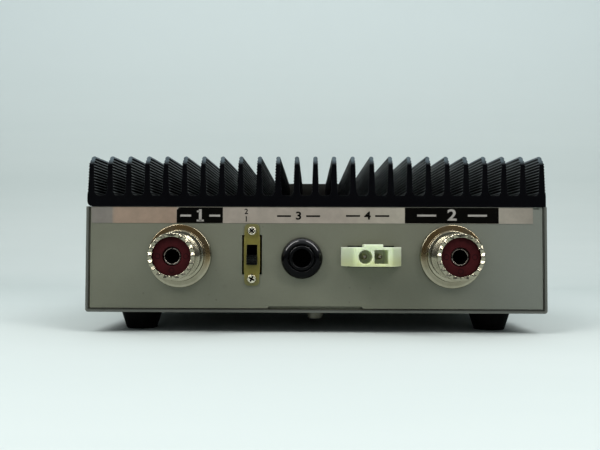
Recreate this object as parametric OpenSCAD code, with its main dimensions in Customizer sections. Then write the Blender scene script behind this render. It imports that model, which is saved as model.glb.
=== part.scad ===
// Transverter in a flat metal case whose finned heatsink is its lid.
// The socket panel faces -Y, the control panel faces +Y, and Z = 0 is the surface under the feet.

/* [Case] */
// Width over the bottom cover
case_w = 164.2; // [160:0.2:190]
// Length of the heatsink and of the bottom cover
case_l = 108; // [106:1:150]
// Height of the cover's sides, up to the heatsink
case_h = 37.7; // [36.5:0.1:45]
// Sheet thickness of the bottom cover
cover_t = 1.2; // [1:0.1:1.5]
// Outer radius of the cover's two long bends
cover_bend_r = 1; // [0.5:0.1:1.2]
// Sheet thickness of the rear panel and of the front chassis
panel_t = 1.2; // [1:0.1:1.5]
// Seam between a panel's edge and the cover
seam = 0.25; // [0.15:0.05:0.35]
// How far the rear panel lies inside the cover's rear edge
panel_inset = 0.4; // [0:0.1:1]
// Depth of the flanges bent inwards from both panels
flange_l = 9; // [8:0.5:11]
// Width of the foot of the bracket under each panel
bracket_w = 33; // [20:1:40]
// Length of the relief slot over the rear bracket
slot_w = 34.4; // [34:0.2:60]
// Height of the relief slot
slot_h = 0.8; // [0.4:0.1:1.2]

/* [Heatsink] */
// How far the heatsink's sides lie inside the cover's sides
sink_side = 0.3; // [0:0.1:0.8]
// Thickness of the heatsink's base
sink_base_t = 4; // [3.5:0.25:6]
// Height of the fins over the base
fin_h = 14.4; // [10:0.1:20]
// Distance between neighbouring fins
fin_pitch = 6.7; // [5.5:0.1:9]
// Thickness of a fin at its tip
fin_tip_t = 1.6; // [1.2:0.1:1.8]
// Thickness of a fin at its root
fin_root_t = 2.7; // [2:0.1:2.8]
// Radius between a fin and the base
fin_root_r = 1; // [0.6:0.1:1.2]
// Distance between the small ridges on a fin's sides
ridge_pitch = 1.04; // [0.9:0.02:1.5]
// Depth of the small ridges
ridge_depth = 0.22; // [0.1:0.02:0.26]
// Bevel on the ends of the fins
fin_bevel = 3.2; // [1:0.1:4]
// Radius on the base's lower left edge
sink_edge_r = 1.8; // [0.6:0.1:2.4]

/* [Feet] */
// Height of a rubber foot
foot_h = 7.5; // [6:0.5:12]
// Diameter of a foot where it meets the cover
foot_top_d = 16; // [14:0.5:20]
// Diameter of a foot on the ground
foot_ground_d = 11.2; // [10.5:0.1:13]
// Distance of a foot from the nearer side of the case
foot_side_x = 16; // [14:0.5:26]
// Distance of a foot from the nearer end of the case
foot_end_y = 18.5; // [16:0.5:24]
// Depth of the screw well in a foot
foot_well_h = 4; // [3.5:0.1:4.5]
// Diameter of the screw well in a foot
foot_well_d = 7; // [6.6:0.1:7.5]

/* [Screws] */
// Thread diameter of the case and board screws
screw_d = 3; // [2.5:0.1:3.2]
// Head diameter of the case and board screws
screw_head_d = 6; // [5.4:0.1:6.2]
// Head height of the case and board screws
screw_head_h = 2.4; // [1.8:0.1:2.6]
// Head height of the low screws on the cover's sides
side_head_h = 1.3; // [1:0.1:1.6]
// Gap around a screw in its hole
screw_gap = 0.1; // [0.05:0.05:0.2]
// Depth of a tapped hole in the heatsink's base
tap_depth = 3; // [2.5:0.1:3.2]
// Height of the side screws over the cover's floor
side_screw_up = 21; // [16:1:24]
// Distance of the heatsink screws from the panels' ends
sink_screw_in = 22; // [18:1:26]
// Distance of the front panel's screws from the panel's ends
boss_in = 12; // [10:0.5:13]

/* [Round coax sockets] */
// Distance of each socket from the nearer side of the case
socket_side = 33.9; // [24:0.1:36]
// Height of the sockets' axis over the cover's underside
socket_up = 20.1; // [18.5:0.1:20.5]
// Outer diameter of the threaded barrel
socket_barrel_d = 15.9; // [15.4:0.1:16.4]
// How far the barrel's crown stands out of the rear panel
socket_out = 17; // [14:0.5:20]
// Diameter of the flange
socket_flange_d = 22.5; // [21.4:0.1:24]
// Thickness of the flange
socket_flange_t = 2.5; // [1.5:0.1:3.5]
// Diameter of the shoulder between flange and barrel
socket_shoulder_d = 18; // [17:0.1:19]
// Length of the shoulder
socket_shoulder_l = 2; // [1:0.1:3]
// Length of the barrel behind the rear panel
socket_tail_l = 7; // [5:0.5:9]
// Diameter of the barrel in and behind the rear panel
socket_tail_d = 15.2; // [14.6:0.1:15.3]
// Width of the relief groove between thread and shoulder
socket_relief_l = 0.8; // [0.4:0.1:1.2]
// Number of teeth on the crown
socket_teeth = 18; // [12:1:24]
// Depth of the notches between the teeth
socket_tooth_h = 1.1; // [0.6:0.1:1.5]
// Diameter of the insulator
socket_insulator_d = 13; // [12:0.1:13.2]
// Depth of the insulator's face under the crown
socket_insulator_in = 1.3; // [1.2:0.1:2]
// Bore of the centre contact
contact_bore_d = 4; // [3.8:0.1:4.2]
// Outer diameter of the centre contact
contact_d = 5.8; // [5.4:0.1:6]
// Depth of the contact's mouth under the crown
contact_in = 2.2; // [1.8:0.1:3]
// Depth of the contact's bore
contact_bore_l = 11; // [8:0.5:14]
// Width of the slits in the contact
contact_slit = 0.4; // [0.3:0.1:0.6]
// Width across the flats of the socket's nut
socket_nut_af = 20; // [19:0.5:21]
// Thickness of the socket's nut
socket_nut_t = 3; // [2:0.5:4]

/* [Level slide switch] */
// Position of the switch along the rear panel
switch_x = -22.6; // [-26:0.2:-20]
// Height of the switch's centre over the cover's underside
switch_up = 20.5; // [18.5:0.1:20.5]
// Width of the switch's ears
switch_ear_w = 5.4; // [4.6:0.1:5.6]
// Length of the switch's plate over both ears
switch_plate_h = 22; // [21:0.5:24]
// Thickness of the switch's plate
switch_plate_t = 0.5; // [0.4:0.1:0.8]
// Distance between the switch's two screws
switch_pitch = 17; // [16.8:0.2:18]
// Width of the switch's can
switch_can_w = 5.7; // [5.4:0.1:6.2]
// Length of the switch's can
switch_can_h = 12.7; // [12:0.1:12.9]
// Depth of the switch's can behind the plate
switch_can_l = 7; // [6:0.5:9]
// Gap between the can and the cut-out in the panel
switch_cut_gap = 0.7; // [0.3:0.1:0.8]
// Width of the window
window_w = 3.8; // [3.4:0.1:4]
// Height of the window
window_h = 7.2; // [6.8:0.1:7.6]
// Height of the sliding knob
slider_h = 3.4; // [3:0.1:3.8]
// How far the sliding knob stands out of the plate
slider_out = 2.2; // [1:0.1:3]
// Gap round the sliding knob
slider_gap = 0.1; // [0.05:0.05:0.2]
// Thread diameter of the switch's screws
small_screw_d = 2; // [1.8:0.1:2.4]
// Head diameter of the switch's screws
small_head_d = 3.4; // [3.2:0.1:3.6]
// Head height of the switch's screws
small_head_h = 1.2; // [0.8:0.1:1.6]

/* [Remote jack] */
// Position of the jack along the rear panel
jack_x = -4.8; // [-6.4:0.2:-3]
// Height of the jack's axis over the cover's underside
jack_up = 19.4; // [18:0.1:20.5]
// Diameter of the jack's hole
jack_bore_d = 6.4; // [6.3:0.1:6.6]
// Depth of the jack's hole
jack_bore_l = 24; // [18:0.5:26]
// Outer diameter of the jack's bushing
jack_bush_d = 9.4; // [9:0.1:10]
// Outer diameter of the round nut
jack_nut_d = 14.8; // [14:0.1:16]
// Height of the round nut over the panel
jack_nut_h = 3.6; // [2.8:0.1:4]
// Radius of the round nut's shoulder
jack_nut_r = 2.2; // [1.2:0.1:2.4]
// Width and height of the jack's housing
jack_box_w = 13; // [12:0.5:14]

/* [Power inlet] */
// Position of the inlet along the rear panel
inlet_x = 19.8; // [18.8:0.2:21]
// Height of the inlet's centre over the cover's underside
inlet_up = 20; // [18:0.1:21]
// Width of the inlet's nose
inlet_w = 13; // [12.6:0.1:14]
// Height of the inlet's nose
inlet_h = 6.7; // [6.5:0.1:7.5]
// How far the nose stands out of the panel
inlet_out = 10; // [9:0.5:12]
// Width over the spread locking ears
inlet_ear_w = 21.4; // [20:0.1:22]
// Thickness of a locking ear
inlet_ear_t = 1; // [0.8:0.1:1.1]
// Width of the tab on top
inlet_tab_w = 6.6; // [5:0.1:8]
// Height of the tab on top
inlet_tab_h = 0.95; // [0.5:0.05:1.2]
// Size of the round and of the square cavity
cavity_w = 4.8; // [4.6:0.1:5]
// Distance between the two cavities
cavity_pitch = 5.4; // [5.3:0.1:5.8]
// Depth of the cavities
cavity_l = 14; // [12:0.5:16]
// Diameter of the contact pins
inlet_pin_d = 2; // [1.6:0.1:2.4]
// Depth of the pins' tips under the mouth
inlet_pin_in = 5.6; // [5.4:0.1:7]
// Width of the cut-out in the panel
inlet_cut_w = 16.7; // [16:0.1:18]
// Gap over and under the nose in the cut-out
inlet_cut_gap = 0.5; // [0.3:0.1:0.8]

/* [Rear label] */
// Gap between the sockets' flanges and the label strip
label_clear = 0.4; // [0.2:0.05:0.5]
// Thickness of the label strip
label_t = 0.15; // [0.1:0.05:0.3]
// Distance of the strip's right end from the panel's edge
label_right = 3.4; // [2:0.1:8]
// Distance of the strip's left end from the panel's edge
label_left = 0.3; // [0.2:0.1:4]

/* [Front panel] */
// Depth of the front panel
front_t = 6; // [5.5:0.1:8]
// Radius of the front panel's corners
front_r = 2.5; // [1:0.1:4]
// Step between the front panel's top and the fins' tips
front_drop = 0.3; // [0:0.1:2]
// Thickness of the printed facia plate
facia_t = 0.8; // [0.5:0.1:1]
// Border of the front panel round the facia plate
facia_border = 5; // [4:0.5:6]
// Gap round the facia plate and round the buttons
facia_gap = 0.2; // [0.1:0.05:0.3]
// Wall of the front panel behind the facia plate
front_wall = 2.2; // [2:0.1:2.6]
// Height of the controls' axis over the cover's underside
control_up = 22; // [20:0.5:22.5]

/* [Band dial] */
// Distance of the dial from the case's side
dial_side = 32; // [26:1:40]
// Diameter of the knob's skirt
knob_d = 28; // [24:0.5:32]
// Diameter of the knob's front
knob_top_d = 23; // [18:0.5:23.5]
// Length of the knob
knob_l = 14; // [12:0.5:18]
// Length of the knob's skirt
skirt_l = 2.5; // [1.5:0.1:4]
// Length of the pointer line on the knob
pointer_l = 7; // [4:0.5:8]
// Gap between the knob and the facia plate
knob_gap = 0.8; // [0.5:0.1:1.5]
// Number of flutes round the knob
knob_flutes = 24; // [12:1:30]
// Diameter of a flute
flute_d = 1.6; // [1:0.1:2]
// Diameter of the shaft
shaft_d = 6; // [5.8:0.1:6.2]
// Gap between the shaft and its bushing
shaft_gap = 0.05; // [0.03:0.01:0.1]
// Outer diameter of the shaft's bushing
bush_d = 8; // [7.6:0.1:9]
// Width and height of the band switch
band_box_w = 17; // [16:0.5:19]
// Turn from one band to the next
band_step = 30; // [20:1:36]
// Number of bands
band_count = 6; // [3:1:7]

/* [Push buttons] */
// Distance of the power button from the case's side
power_side = 22; // [18:1:26]
// Distance between the two buttons
button_pitch = 22; // [18:1:24]
// Width of a button
button_w = 11; // [9:0.5:12]
// Height of a button
button_h = 7; // [6:0.5:9]
// How far a button stands out of the facia plate
button_out = 5; // [4:0.5:7]
// Travel of a button
button_travel = 2.5; // [1.5:0.1:2.7]
// Width of a button's stem
stem_w = 4; // [3:0.5:5]
// Gap round a button's stem
stem_gap = 0.3; // [0.2:0.05:0.4]

/* [Indicator lamps] */
// Position of the middle lamp along the front panel
lamp_x = 9; // [5:1:13]
// Distance between the lamps
lamp_pitch = 9; // [7:0.5:10]
// Diameter of a lamp
lamp_d = 3; // [3:0.5:5]

/* [Boards] */
// Thickness of the circuit boards
board_t = 1.6; // [1.2:0.1:2]
// Gap between the main board and the cover's walls
board_side = 6; // [4.5:0.5:8]
// Distance of the main board from the rear panel
board_rear_y = 31; // [30:0.5:33]
// Distance between the heatsink and the main board
board_drop = 8; // [7.5:0.5:9]
// Length of the switch bodies between the chassis and the front board
front_board_gap = 13; // [12:0.5:14]
// Distance between the front board and the main board
board_gap = 4; // [3:0.5:6]
// Distance of the board screws from the board's edges
board_edge = 5; // [4:0.5:6]
// Distance of the relays from the sockets' planes
relay_shift = 15; // [14:0.5:16]
// Width of a changeover relay
relay_w = 16; // [12:0.5:18]
// Height of a changeover relay
relay_h = 13; // [10:0.5:15]
// Diameter of an electrolytic capacitor
cap_d = 8; // [6:0.5:10]
// Height of an electrolytic capacitor
cap_h = 13; // [10:0.5:15]
// Outer diameter of a toroid core
toroid_d = 12; // [9:0.5:13]
// Width of a tuned coil's can
can_w = 7.5; // [7:0.5:8]
// Height of a tuned coil's can
can_h = 11; // [8:0.5:13]
// Length of a transistor's flange
flange_bar_l = 24; // [22:0.5:25]
// Width of a transistor's flange
flange_bar_w = 6.4; // [6:0.1:7]
// Height of a transistor over the heatsink
transistor_h = 4.6; // [4:0.1:5]

/* [Wiring] */
// Diameter of the coax jumpers
coax_d = 2.8; // [2:0.1:3]
// Diameter of the power leads
lead_d = 2.2; // [1.6:0.1:2.4]
// Diameter of the thin signal leads
wire_d = 1; // [0.8:0.1:1.2]
// Bend radius of the leads, to their middle
lead_bend_r = 4.5; // [3:0.5:5]
// Width of the ribbon cable
ribbon_w = 12; // [8:0.5:16]
// Thickness of the ribbon cable
ribbon_t = 0.9; // [0.6:0.1:1.2]

/* [Hidden] */
$fn = 48;

anodised = [0.06, 0.065, 0.08];
plated = [0.42, 0.42, 0.37];
nickel = [0.72, 0.69, 0.62];
maroon = [0.25, 0.06, 0.07];
passivated = [0.5, 0.46, 0.2];
black_plastic = [0.05, 0.05, 0.055];
ivory = [0.78, 0.82, 0.66];
rubber = [0.05, 0.05, 0.05];
zinc = [0.66, 0.66, 0.64];
board_green = [0.12, 0.3, 0.16];
label_grey = [0.58, 0.55, 0.51];

// heights
floor_z = foot_h + cover_t;
sink_z = foot_h + case_h;
fin_z = sink_z + sink_base_t;
top_z = fin_z + fin_h;
socket_x = case_w / 2 - socket_side;
socket_z = foot_h + socket_up;
control_z = foot_h + control_up;
board_top_z = sink_z - board_drop;
board_z = board_top_z - board_t;

// widths of the heatsink and between the cover's walls
sink_w = case_w - 2 * sink_side;
inner_w = case_w - 2 * cover_t;
panel_w = inner_w - 2 * seam;
panel_low_z = floor_z + seam;
panel_h = sink_z - panel_low_z;

board_w = inner_w - 2 * board_side;
dial_x = dial_side - case_w / 2;
power_x = case_w / 2 - power_side;
preamp_x = power_x - button_pitch;

// places along Y, counted from the cover's rear edge
panel_in_y = panel_inset + panel_t;
chassis_y = case_l - panel_t;
front_y = case_l + front_t;
knob_y = front_y + knob_gap;
front_board_y = chassis_y - front_board_gap - board_t;
board_y = panel_in_y + board_rear_y;
board_l = front_board_y - board_gap - board_y;
rear_y = (socket_out - panel_inset - knob_y - knob_l) / 2;
label_low_z = socket_z + socket_flange_d / 2 + label_clear;

// fins and their ridges
fin_side_count = floor((sink_w - fin_root_t) / 2 / fin_pitch);
fin_tip_r = fin_tip_t / 2;
ridge_count = floor((fin_h - fin_root_r - fin_tip_r) / ridge_pitch);
arc_steps = 4;

// screws
screw_hole_d = screw_d + 2 * screw_gap;
recess_w = 0.9;
recess_part = 0.62;
side_screw_l = 5;
screw_past = 0.5;
tap_gap = 0.3;
foot_nut_h = 2.4;
flange_mid = panel_t + flange_l / 2;
flange_screw_x = panel_w / 2 - sink_screw_in;
side_screw_z = floor_z + side_screw_up;
bracket_rise = 7;
corner_slot_w = 3.3;
corner_slot_h = 0.4;
corner_slot_down = 0.4;
label_gap = 0.15;
cut = 0.1;

// round sockets
socket_front_y = panel_inset - socket_out;
socket_thread_l = socket_out - socket_flange_t - socket_shoulder_l - socket_relief_l;
insulator_y = socket_front_y + socket_insulator_in;
insulator_past = 1;
insulator_end_y = panel_in_y + socket_tail_l + insulator_past;
contact_y = socket_front_y + contact_in;
contact_tail_d = 3.4;
contact_tail_l = 3;
fit_gap = 0.05;
mouth_gap = 0.35;
mouth_l = 2;

// slide switch
switch_z = foot_h + switch_up;
switch_face_y = panel_inset - switch_plate_t;
switch_body_past = 0.5;
switch_end_y = panel_inset + switch_can_l + switch_body_past;
can_wall = 0.4;
switch_block_l = 3;
slider_foot_l = 3;
slider_z = switch_z - window_h / 2 + slider_gap;
groove_h = 0.28;
groove_in = 0.3;
terminal_l = 3.5;
terminal_w = 1.2;
terminal_t = 0.4;
terminal_pitch = 3.6;

// remote jack
jack_z = foot_h + jack_up;
jack_bush_in = 0.3;
jack_back_t = 1.5;
jack_mouth = 0.8;
jack_front_y = panel_inset - jack_nut_h + jack_bush_in;
jack_box_l = jack_bore_l + jack_front_y - panel_in_y + jack_back_t;
jack_tag_l = 3;
jack_tag_t = 0.4;
jack_tag_w = 3;

// power inlet
inlet_z = foot_h + inlet_up;
inlet_front_y = panel_inset - inlet_out;
inlet_flange_over = 1.5;
inlet_flange_w = inlet_cut_w + 2 * inlet_flange_over;
inlet_flange_h = inlet_h + 2 * inlet_flange_over;
inlet_tab_end = 1.5;
inlet_ear_lip = 0.6;
inlet_ear_root = 3;
inlet_pin_past = 1.5;
inlet_flange_t = 1.5;
inlet_body_l = 7;
inlet_end_y = panel_in_y + inlet_flange_t + inlet_body_l;
inlet_pin_end_y = inlet_end_y + inlet_pin_past;

// front panel and its openings
front_low_z = foot_h;
front_h = top_z - front_drop - front_low_z;
facia_w = case_w - 2 * facia_border;
facia_h = front_h - 2 * facia_border;
facia_y = front_y - facia_t;
pocket_y = facia_y - front_wall;
pocket_edge = 7;
pocket_low = 4;
pocket_low_z = floor_z + pocket_low;
pocket_high = 1;
boss_x = panel_w / 2 - boss_in;
boss_low = 7;
boss_high = 6;
boss_z = [floor_z + boss_low, sink_z - boss_high];
boss_d = 8;
boss_skin = 1;

// band switch
shaft_hole_d = shaft_d + 2 * shaft_gap;
bush_end_y = pocket_y + front_wall;
nut_t = 2.2;
box_front_t = 3;
rotor_t = 3;
rotor_rim = 2.25;
rotor_d = band_box_w - 2 * rotor_rim;
rotor_gap = 0.3;
rotor_y = chassis_y - box_front_t - rotor_gap - rotor_t;
shaft_past = 1;
shaft_end_gap = 0.3;
knob_draft = 1;
knob_grip_y = knob_y + skirt_l;
knob_cap = 2.5;
shaft_end_y = knob_y + knob_l - knob_cap - shaft_end_gap;
pointer_w = 1.2;
pointer_t = 0.5;
pointer_edge = 1.2;
rest_turn = band_step * (band_count - 1) / 2;

// push buttons
button_stop_gap = 0.4;
cap_back_y = case_l + button_travel + button_stop_gap;
cap_front_y = front_y + button_out;
stem_end_y = chassis_y - box_front_t;
stem_end_gap = 0.5;
button_box_w = 13;
button_box_h = 10;

// lamps
lamp_xs = [for (i = [-1:1]) lamp_x + i * lamp_pitch];
lamp_back_l = 2;
lamp_back_y = chassis_y - lamp_back_l;
lamp_leg_d = 0.5;

// boards and places under the main board
front_board_low = 12;
front_board_drop = 3;
front_board_side = 15;
front_board_low_z = control_z - front_board_low;
ribbon_x = 26;
ribbon_in = 2;
ribbon_up = 4;
spacer_d = 6;
spacer_xs = [-board_w / 2 + board_edge, 0, board_w / 2 - board_edge];
spacer_ys = [board_y + board_edge, board_y + board_l - board_edge];
transistor_xs = [-32, 32];
transistor_y = board_y + board_l / 2;
transistor_room = 1;
transistor_hole_in = 3;
transistor_hole_x = flange_bar_l / 2 - transistor_hole_in;
transistor_cap_l = 10;
flange_bar_t = 1.6;
relay_row = 9;
relay_y = board_y + relay_row;
relay_l = 18;
cap_row = 17;
cap_xs = [22, 31, 40];
coil_row = 11;
coil_y = board_y + board_l - coil_row;
toroid_h = 5;
toroid_xs = [-12, 12, 28];
can_side = 9;
can_pitch = 9;
can_xs = [for (i = [0:2]) can_side + can_w / 2 + i * can_pitch - board_w / 2];
crystal_side = 18;
crystal_pitch = 13;
crystal_xs = [for (i = [0:1]) board_w / 2 - crystal_side - i * crystal_pitch];
crystal_w = 10;
crystal_l = 4;
shield_side = 4;
shield_row = 16.5;
shield_w = 50;
shield_t = 0.5;
shield_x = shield_side + shield_w / 2 - board_w / 2;
lead_row = 6;
lead_turn_y = board_y + lead_row;

// frames and helpers

module at_case() translate([0, rear_y, 0]) children();

// a cylinder that runs from the origin along +Y
module rod(d, l, d2 = undef) rotate([-90, 0, 0])
    cylinder(d1 = d, d2 = d2 == undef ? d : d2, h = l);

// a box centred on X and Z that runs from the origin along +Y
module beam(w, l, h) translate([-w / 2, 0, -h / 2]) cube([w, l, h]);

// a box centred on X that stands on the origin and runs along +Y
module slab(w, l, h) translate([-w / 2, 0, 0]) cube([w, l, h]);

// a screw that hangs head down from the origin, with its thread along +Z
module screw(d, head_d, head_h, l) {
    difference() {
        union() {
            cylinder(d = d, h = l);
            translate([0, 0, -head_h]) cylinder(d1 = head_d * 0.8, d2 = head_d, h = head_h / 2);
            translate([0, 0, -head_h / 2]) cylinder(d = head_d, h = head_h / 2);
        }
        for (a = [0, 90]) rotate(a)
            translate([-head_d * recess_part / 2, -recess_w / 2 * head_d / screw_head_d, -head_h - cut])
                cube([head_d * recess_part, recess_w * head_d / screw_head_d, head_h / 2 + cut]);
    }
}

module case_screw(l) screw(screw_d, screw_head_d, screw_head_h, l);

// a square with rounded corners, centred on the origin
module round_rect(w, h, r) {
    square([w - 2 * r, h], center = true);
    square([w, h - 2 * r], center = true);
    for (x = [-1, 1], z = [-1, 1]) translate([x * (w / 2 - r), z * (h / 2 - r)]) circle(r);
}

// an outline drawn in X and Z, made into a plate that runs from the origin along +Y
module plate(l) rotate([90, 0, 0]) mirror([0, 0, 1]) linear_extrude(l) children();

// a lead that leaves a terminal along +Y, turns up and ends square under the board
module rising_lead(d, y, z, turn_y) {
    bend = min(lead_bend_r, board_z - z - 0.5);
    translate([0, y, z]) rod(d, turn_y - bend - y);
    translate([0, turn_y - bend, z + bend]) rotate([90, 0, 90])
        rotate([0, 0, -90]) rotate_extrude(angle = 90) translate([bend, 0]) circle(d = d);
    translate([0, turn_y, z + bend]) cylinder(d = d, h = board_z - z - bend);
}

module sink_holes() {
    for (y = [panel_in_y + flange_mid - panel_t, chassis_y - flange_mid + panel_t],
         x = [-flange_screw_x, flange_screw_x])
        translate([x, y, 0]) children();
    for (y = spacer_ys, x = spacer_xs) translate([x, y, 0]) children();
    for (x = transistor_xs, s = [-1, 1])
        translate([x + s * transistor_hole_x, transistor_y, 0]) children();
}

// the extruded heatsink

function fin_half(h) = (fin_root_t + (fin_tip_t - fin_root_t) * h / fin_h) / 2;

function fin_flank(c, s) = [
    for (k = [0:ridge_count - 1])
        let (h = fin_root_r + k * ridge_pitch)
            for (p = [[h, 0], [h + ridge_pitch / 2, ridge_depth]])
                [c + s * (fin_half(p[0]) - p[1]), p[0]]
];

function fin_root(c, s) = [
    for (i = [0:arc_steps])
        let (a = 90 * i / arc_steps)
            [c + s * (fin_half(0) + fin_root_r - fin_root_r * sin(a)), fin_root_r * (1 - cos(a))]
];

function fin_tip(c) = [
    for (i = [0:2 * arc_steps])
        let (a = 90 * i / arc_steps)
            [c + fin_tip_r * cos(a), fin_h - fin_tip_r + fin_tip_r * sin(a)]
];

function backwards(p) = [for (i = [len(p) - 1:-1:0]) p[i]];

function sink_outline() = concat(
    [for (i = [0:arc_steps])
        let (a = 180 + 90 * i / arc_steps)
            [-sink_w / 2 + sink_edge_r * (1 + cos(a)), -sink_base_t + sink_edge_r * (1 + sin(a))]],
    [[sink_w / 2, -sink_base_t], [sink_w / 2, 0]],
    [for (n = [fin_side_count:-1:-fin_side_count])
        let (c = n * fin_pitch)
            for (p = concat(n == fin_side_count ? [] : fin_root(c, 1), fin_flank(c, 1), fin_tip(c),
                            backwards(fin_flank(c, -1)),
                            n == -fin_side_count ? [] : backwards(fin_root(c, -1)))) p],
    [[-sink_w / 2, 0]]
);

module heatsink() {
    color(anodised) at_case() difference() {
        intersection() {
            translate([0, 0, fin_z]) plate(case_l) polygon(sink_outline());
            rotate([90, 0, 90]) translate([0, 0, -case_w / 2]) linear_extrude(case_w) polygon([
                [0, sink_z], [case_l, sink_z], [case_l, top_z - fin_bevel],
                [case_l - fin_bevel, top_z], [fin_bevel, top_z], [0, top_z - fin_bevel]
            ]);
        }
        sink_holes() translate([0, 0, sink_z - cut]) cylinder(d = screw_hole_d, h = tap_depth + cut);
    }
}

// the U-shaped cover

module cover_screw_places() {
    for (y = [flange_mid + panel_inset, case_l - flange_mid]) translate([0, y, 0]) children();
}

module side_screw_places() {
    for (s = [-1, 1], y = [flange_mid + panel_inset, case_l - flange_mid])
        translate([s * case_w / 2, y, side_screw_z]) rotate([0, -90 * s, 0]) children();
}

module foot_places() {
    for (x = [foot_side_x - case_w / 2, case_w / 2 - foot_side_x], y = [foot_end_y, case_l - foot_end_y])
        translate([x, y, 0]) children();
}

module bottom_cover() {
    color(plated) at_case() difference() {
        translate([0, 0, foot_h]) plate(case_l) difference() {
            union() {
                translate([-case_w / 2, cover_bend_r]) square([case_w, case_h - cover_bend_r]);
                translate([cover_bend_r - case_w / 2, 0]) square([case_w - 2 * cover_bend_r, case_h]);
                for (s = [-1, 1]) translate([s * (case_w / 2 - cover_bend_r), cover_bend_r])
                    circle(cover_bend_r);
            }
            translate([-inner_w / 2, cover_t]) square([inner_w, case_h]);
        }
        foot_places() translate([0, 0, foot_h - cut]) cylinder(d = screw_hole_d, h = cover_t + 2 * cut);
        cover_screw_places() translate([0, 0, foot_h - cut])
            cylinder(d = screw_hole_d, h = cover_t + 2 * cut);
        side_screw_places() translate([0, 0, -cut]) cylinder(d = screw_hole_d, h = cover_t + 2 * cut);
    }
}

module cover_side_screws() {
    color(zinc) at_case() side_screw_places()
        screw(screw_d, screw_head_d, side_head_h, side_screw_l);
}

module cover_bottom_screws() {
    color(zinc) at_case() cover_screw_places() translate([0, 0, foot_h]) case_screw(side_screw_l);
}

module feet() {
    color(rubber) at_case() foot_places() difference() {
        cylinder(d1 = foot_ground_d, d2 = foot_top_d, h = foot_h);
        translate([0, 0, -cut]) cylinder(d = foot_well_d, h = foot_well_h + cut);
        cylinder(d = screw_hole_d, h = foot_h + cut);
    }
}

module foot_screws() {
    color(zinc) at_case() foot_places() translate([0, 0, foot_well_h])
        case_screw(foot_h + cover_t + foot_nut_h + screw_past - foot_well_h);
}

module foot_nuts() {
    color(zinc) at_case() foot_places() translate([0, 0, floor_z]) difference() {
        cylinder(d = screw_d * 2.1, h = foot_nut_h, $fn = 6);
        translate([0, 0, -cut]) cylinder(d = screw_hole_d, h = foot_nut_h + 2 * cut);
    }
}

// a sheet panel with its flanges bent towards +Y, lying in the plane Y = 0

module sheet_panel() {
    translate([0, 0, panel_low_z]) slab(panel_w, panel_t, panel_h);
    translate([0, 0, sink_z - panel_t]) slab(panel_w, panel_t + flange_l, panel_t);
    for (s = [-1, 1]) translate([s * (panel_w - panel_t) / 2, 0, panel_low_z])
        slab(panel_t, panel_t + flange_l, panel_h);
    translate([0, panel_t, floor_z]) slab(bracket_w, panel_t, bracket_rise);
    translate([0, panel_t, floor_z]) slab(bracket_w, flange_l, panel_t);
}

module panel_screw_holes() {
    translate([0, flange_mid, floor_z - cut]) cylinder(d = screw_hole_d, h = panel_t + 2 * cut);
    for (s = [-1, 1]) {
        translate([s * flange_screw_x, flange_mid, sink_z - panel_t - cut])
            cylinder(d = screw_hole_d, h = panel_t + 2 * cut);
        translate([s * (panel_w / 2 + cut), flange_mid, side_screw_z]) rotate([0, -90 * s, 0])
            cylinder(d = screw_hole_d, h = panel_t + 2 * cut);
    }
}

module rear_panel() {
    color(plated) at_case() translate([0, panel_inset, 0]) difference() {
        sheet_panel();
        panel_screw_holes();
        translate([0, -cut, floor_z]) plate(panel_t + cut) polygon([
            [-slot_w / 2, 0], [slot_w / 2, 0],
            [slot_w / 2 - slot_h, seam + slot_h], [slot_h - slot_w / 2, seam + slot_h]
        ]);
        for (s = [-1, 1]) translate([s * socket_x, -cut, socket_z])
            rod(socket_tail_d + 2 * fit_gap, panel_t + 2 * cut);
        translate([jack_x, -cut, jack_z]) rod(jack_bush_d + 2 * fit_gap, panel_t + 2 * cut);
        translate([switch_x, -cut, switch_z]) {
            beam(switch_can_w + 2 * switch_cut_gap, panel_t + 2 * cut, switch_can_h + 2 * switch_cut_gap);
            for (s = [-1, 1]) translate([0, 0, s * switch_pitch / 2])
                rod(small_screw_d + 2 * screw_gap, panel_t + 2 * cut);
        }
        translate([inlet_x, -cut, inlet_z])
            beam(inlet_cut_w, panel_t + 2 * cut, inlet_h + 2 * inlet_cut_gap);
        translate([panel_w / 2 - corner_slot_w, -cut, sink_z - corner_slot_down - corner_slot_h])
            cube([corner_slot_w - panel_t, panel_t / 2 + cut, corner_slot_h]);
    }
}

module rear_label() {
    label_w = panel_w - label_left - label_right;
    color(label_grey) at_case()
        translate([(label_left - label_right) / 2, panel_inset - label_t, label_low_z])
            slab(label_w, label_t, sink_z - label_gap - label_low_z);
}

module heatsink_screws() {
    l = panel_t + tap_depth - tap_gap;
    color(zinc) at_case() for (s = [-1, 1], y = [panel_inset + flange_mid, case_l - flange_mid])
        translate([s * flange_screw_x, y, sink_z - panel_t]) case_screw(l);
}

// round coax sockets

module socket_shell() {
    difference() {
        union() {
            translate([0, socket_front_y, 0]) rod(socket_barrel_d, socket_thread_l);
            translate([0, socket_front_y, 0]) rod(socket_tail_d, socket_out);
            translate([0, panel_inset - socket_flange_t, 0]) rod(socket_flange_d, socket_flange_t);
            translate([0, panel_inset - socket_flange_t - socket_shoulder_l, 0])
                rod(socket_shoulder_d, socket_shoulder_l);
            translate([0, panel_inset, 0]) rod(socket_tail_d, panel_t + socket_tail_l);
        }
        translate([0, socket_front_y - cut, 0])
            rod(socket_insulator_d + 2 * fit_gap, socket_out + panel_t + socket_tail_l + 2 * cut);
        for (i = [0:socket_teeth - 1]) translate([0, socket_front_y, 0])
            rotate([0, 360 * i / socket_teeth, 0]) rotate([0, 0, 45])
                translate([-socket_tooth_h / sqrt(2), -socket_tooth_h / sqrt(2), 0])
                    cube([socket_tooth_h * sqrt(2), socket_tooth_h * sqrt(2), socket_barrel_d]);
    }
}

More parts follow.
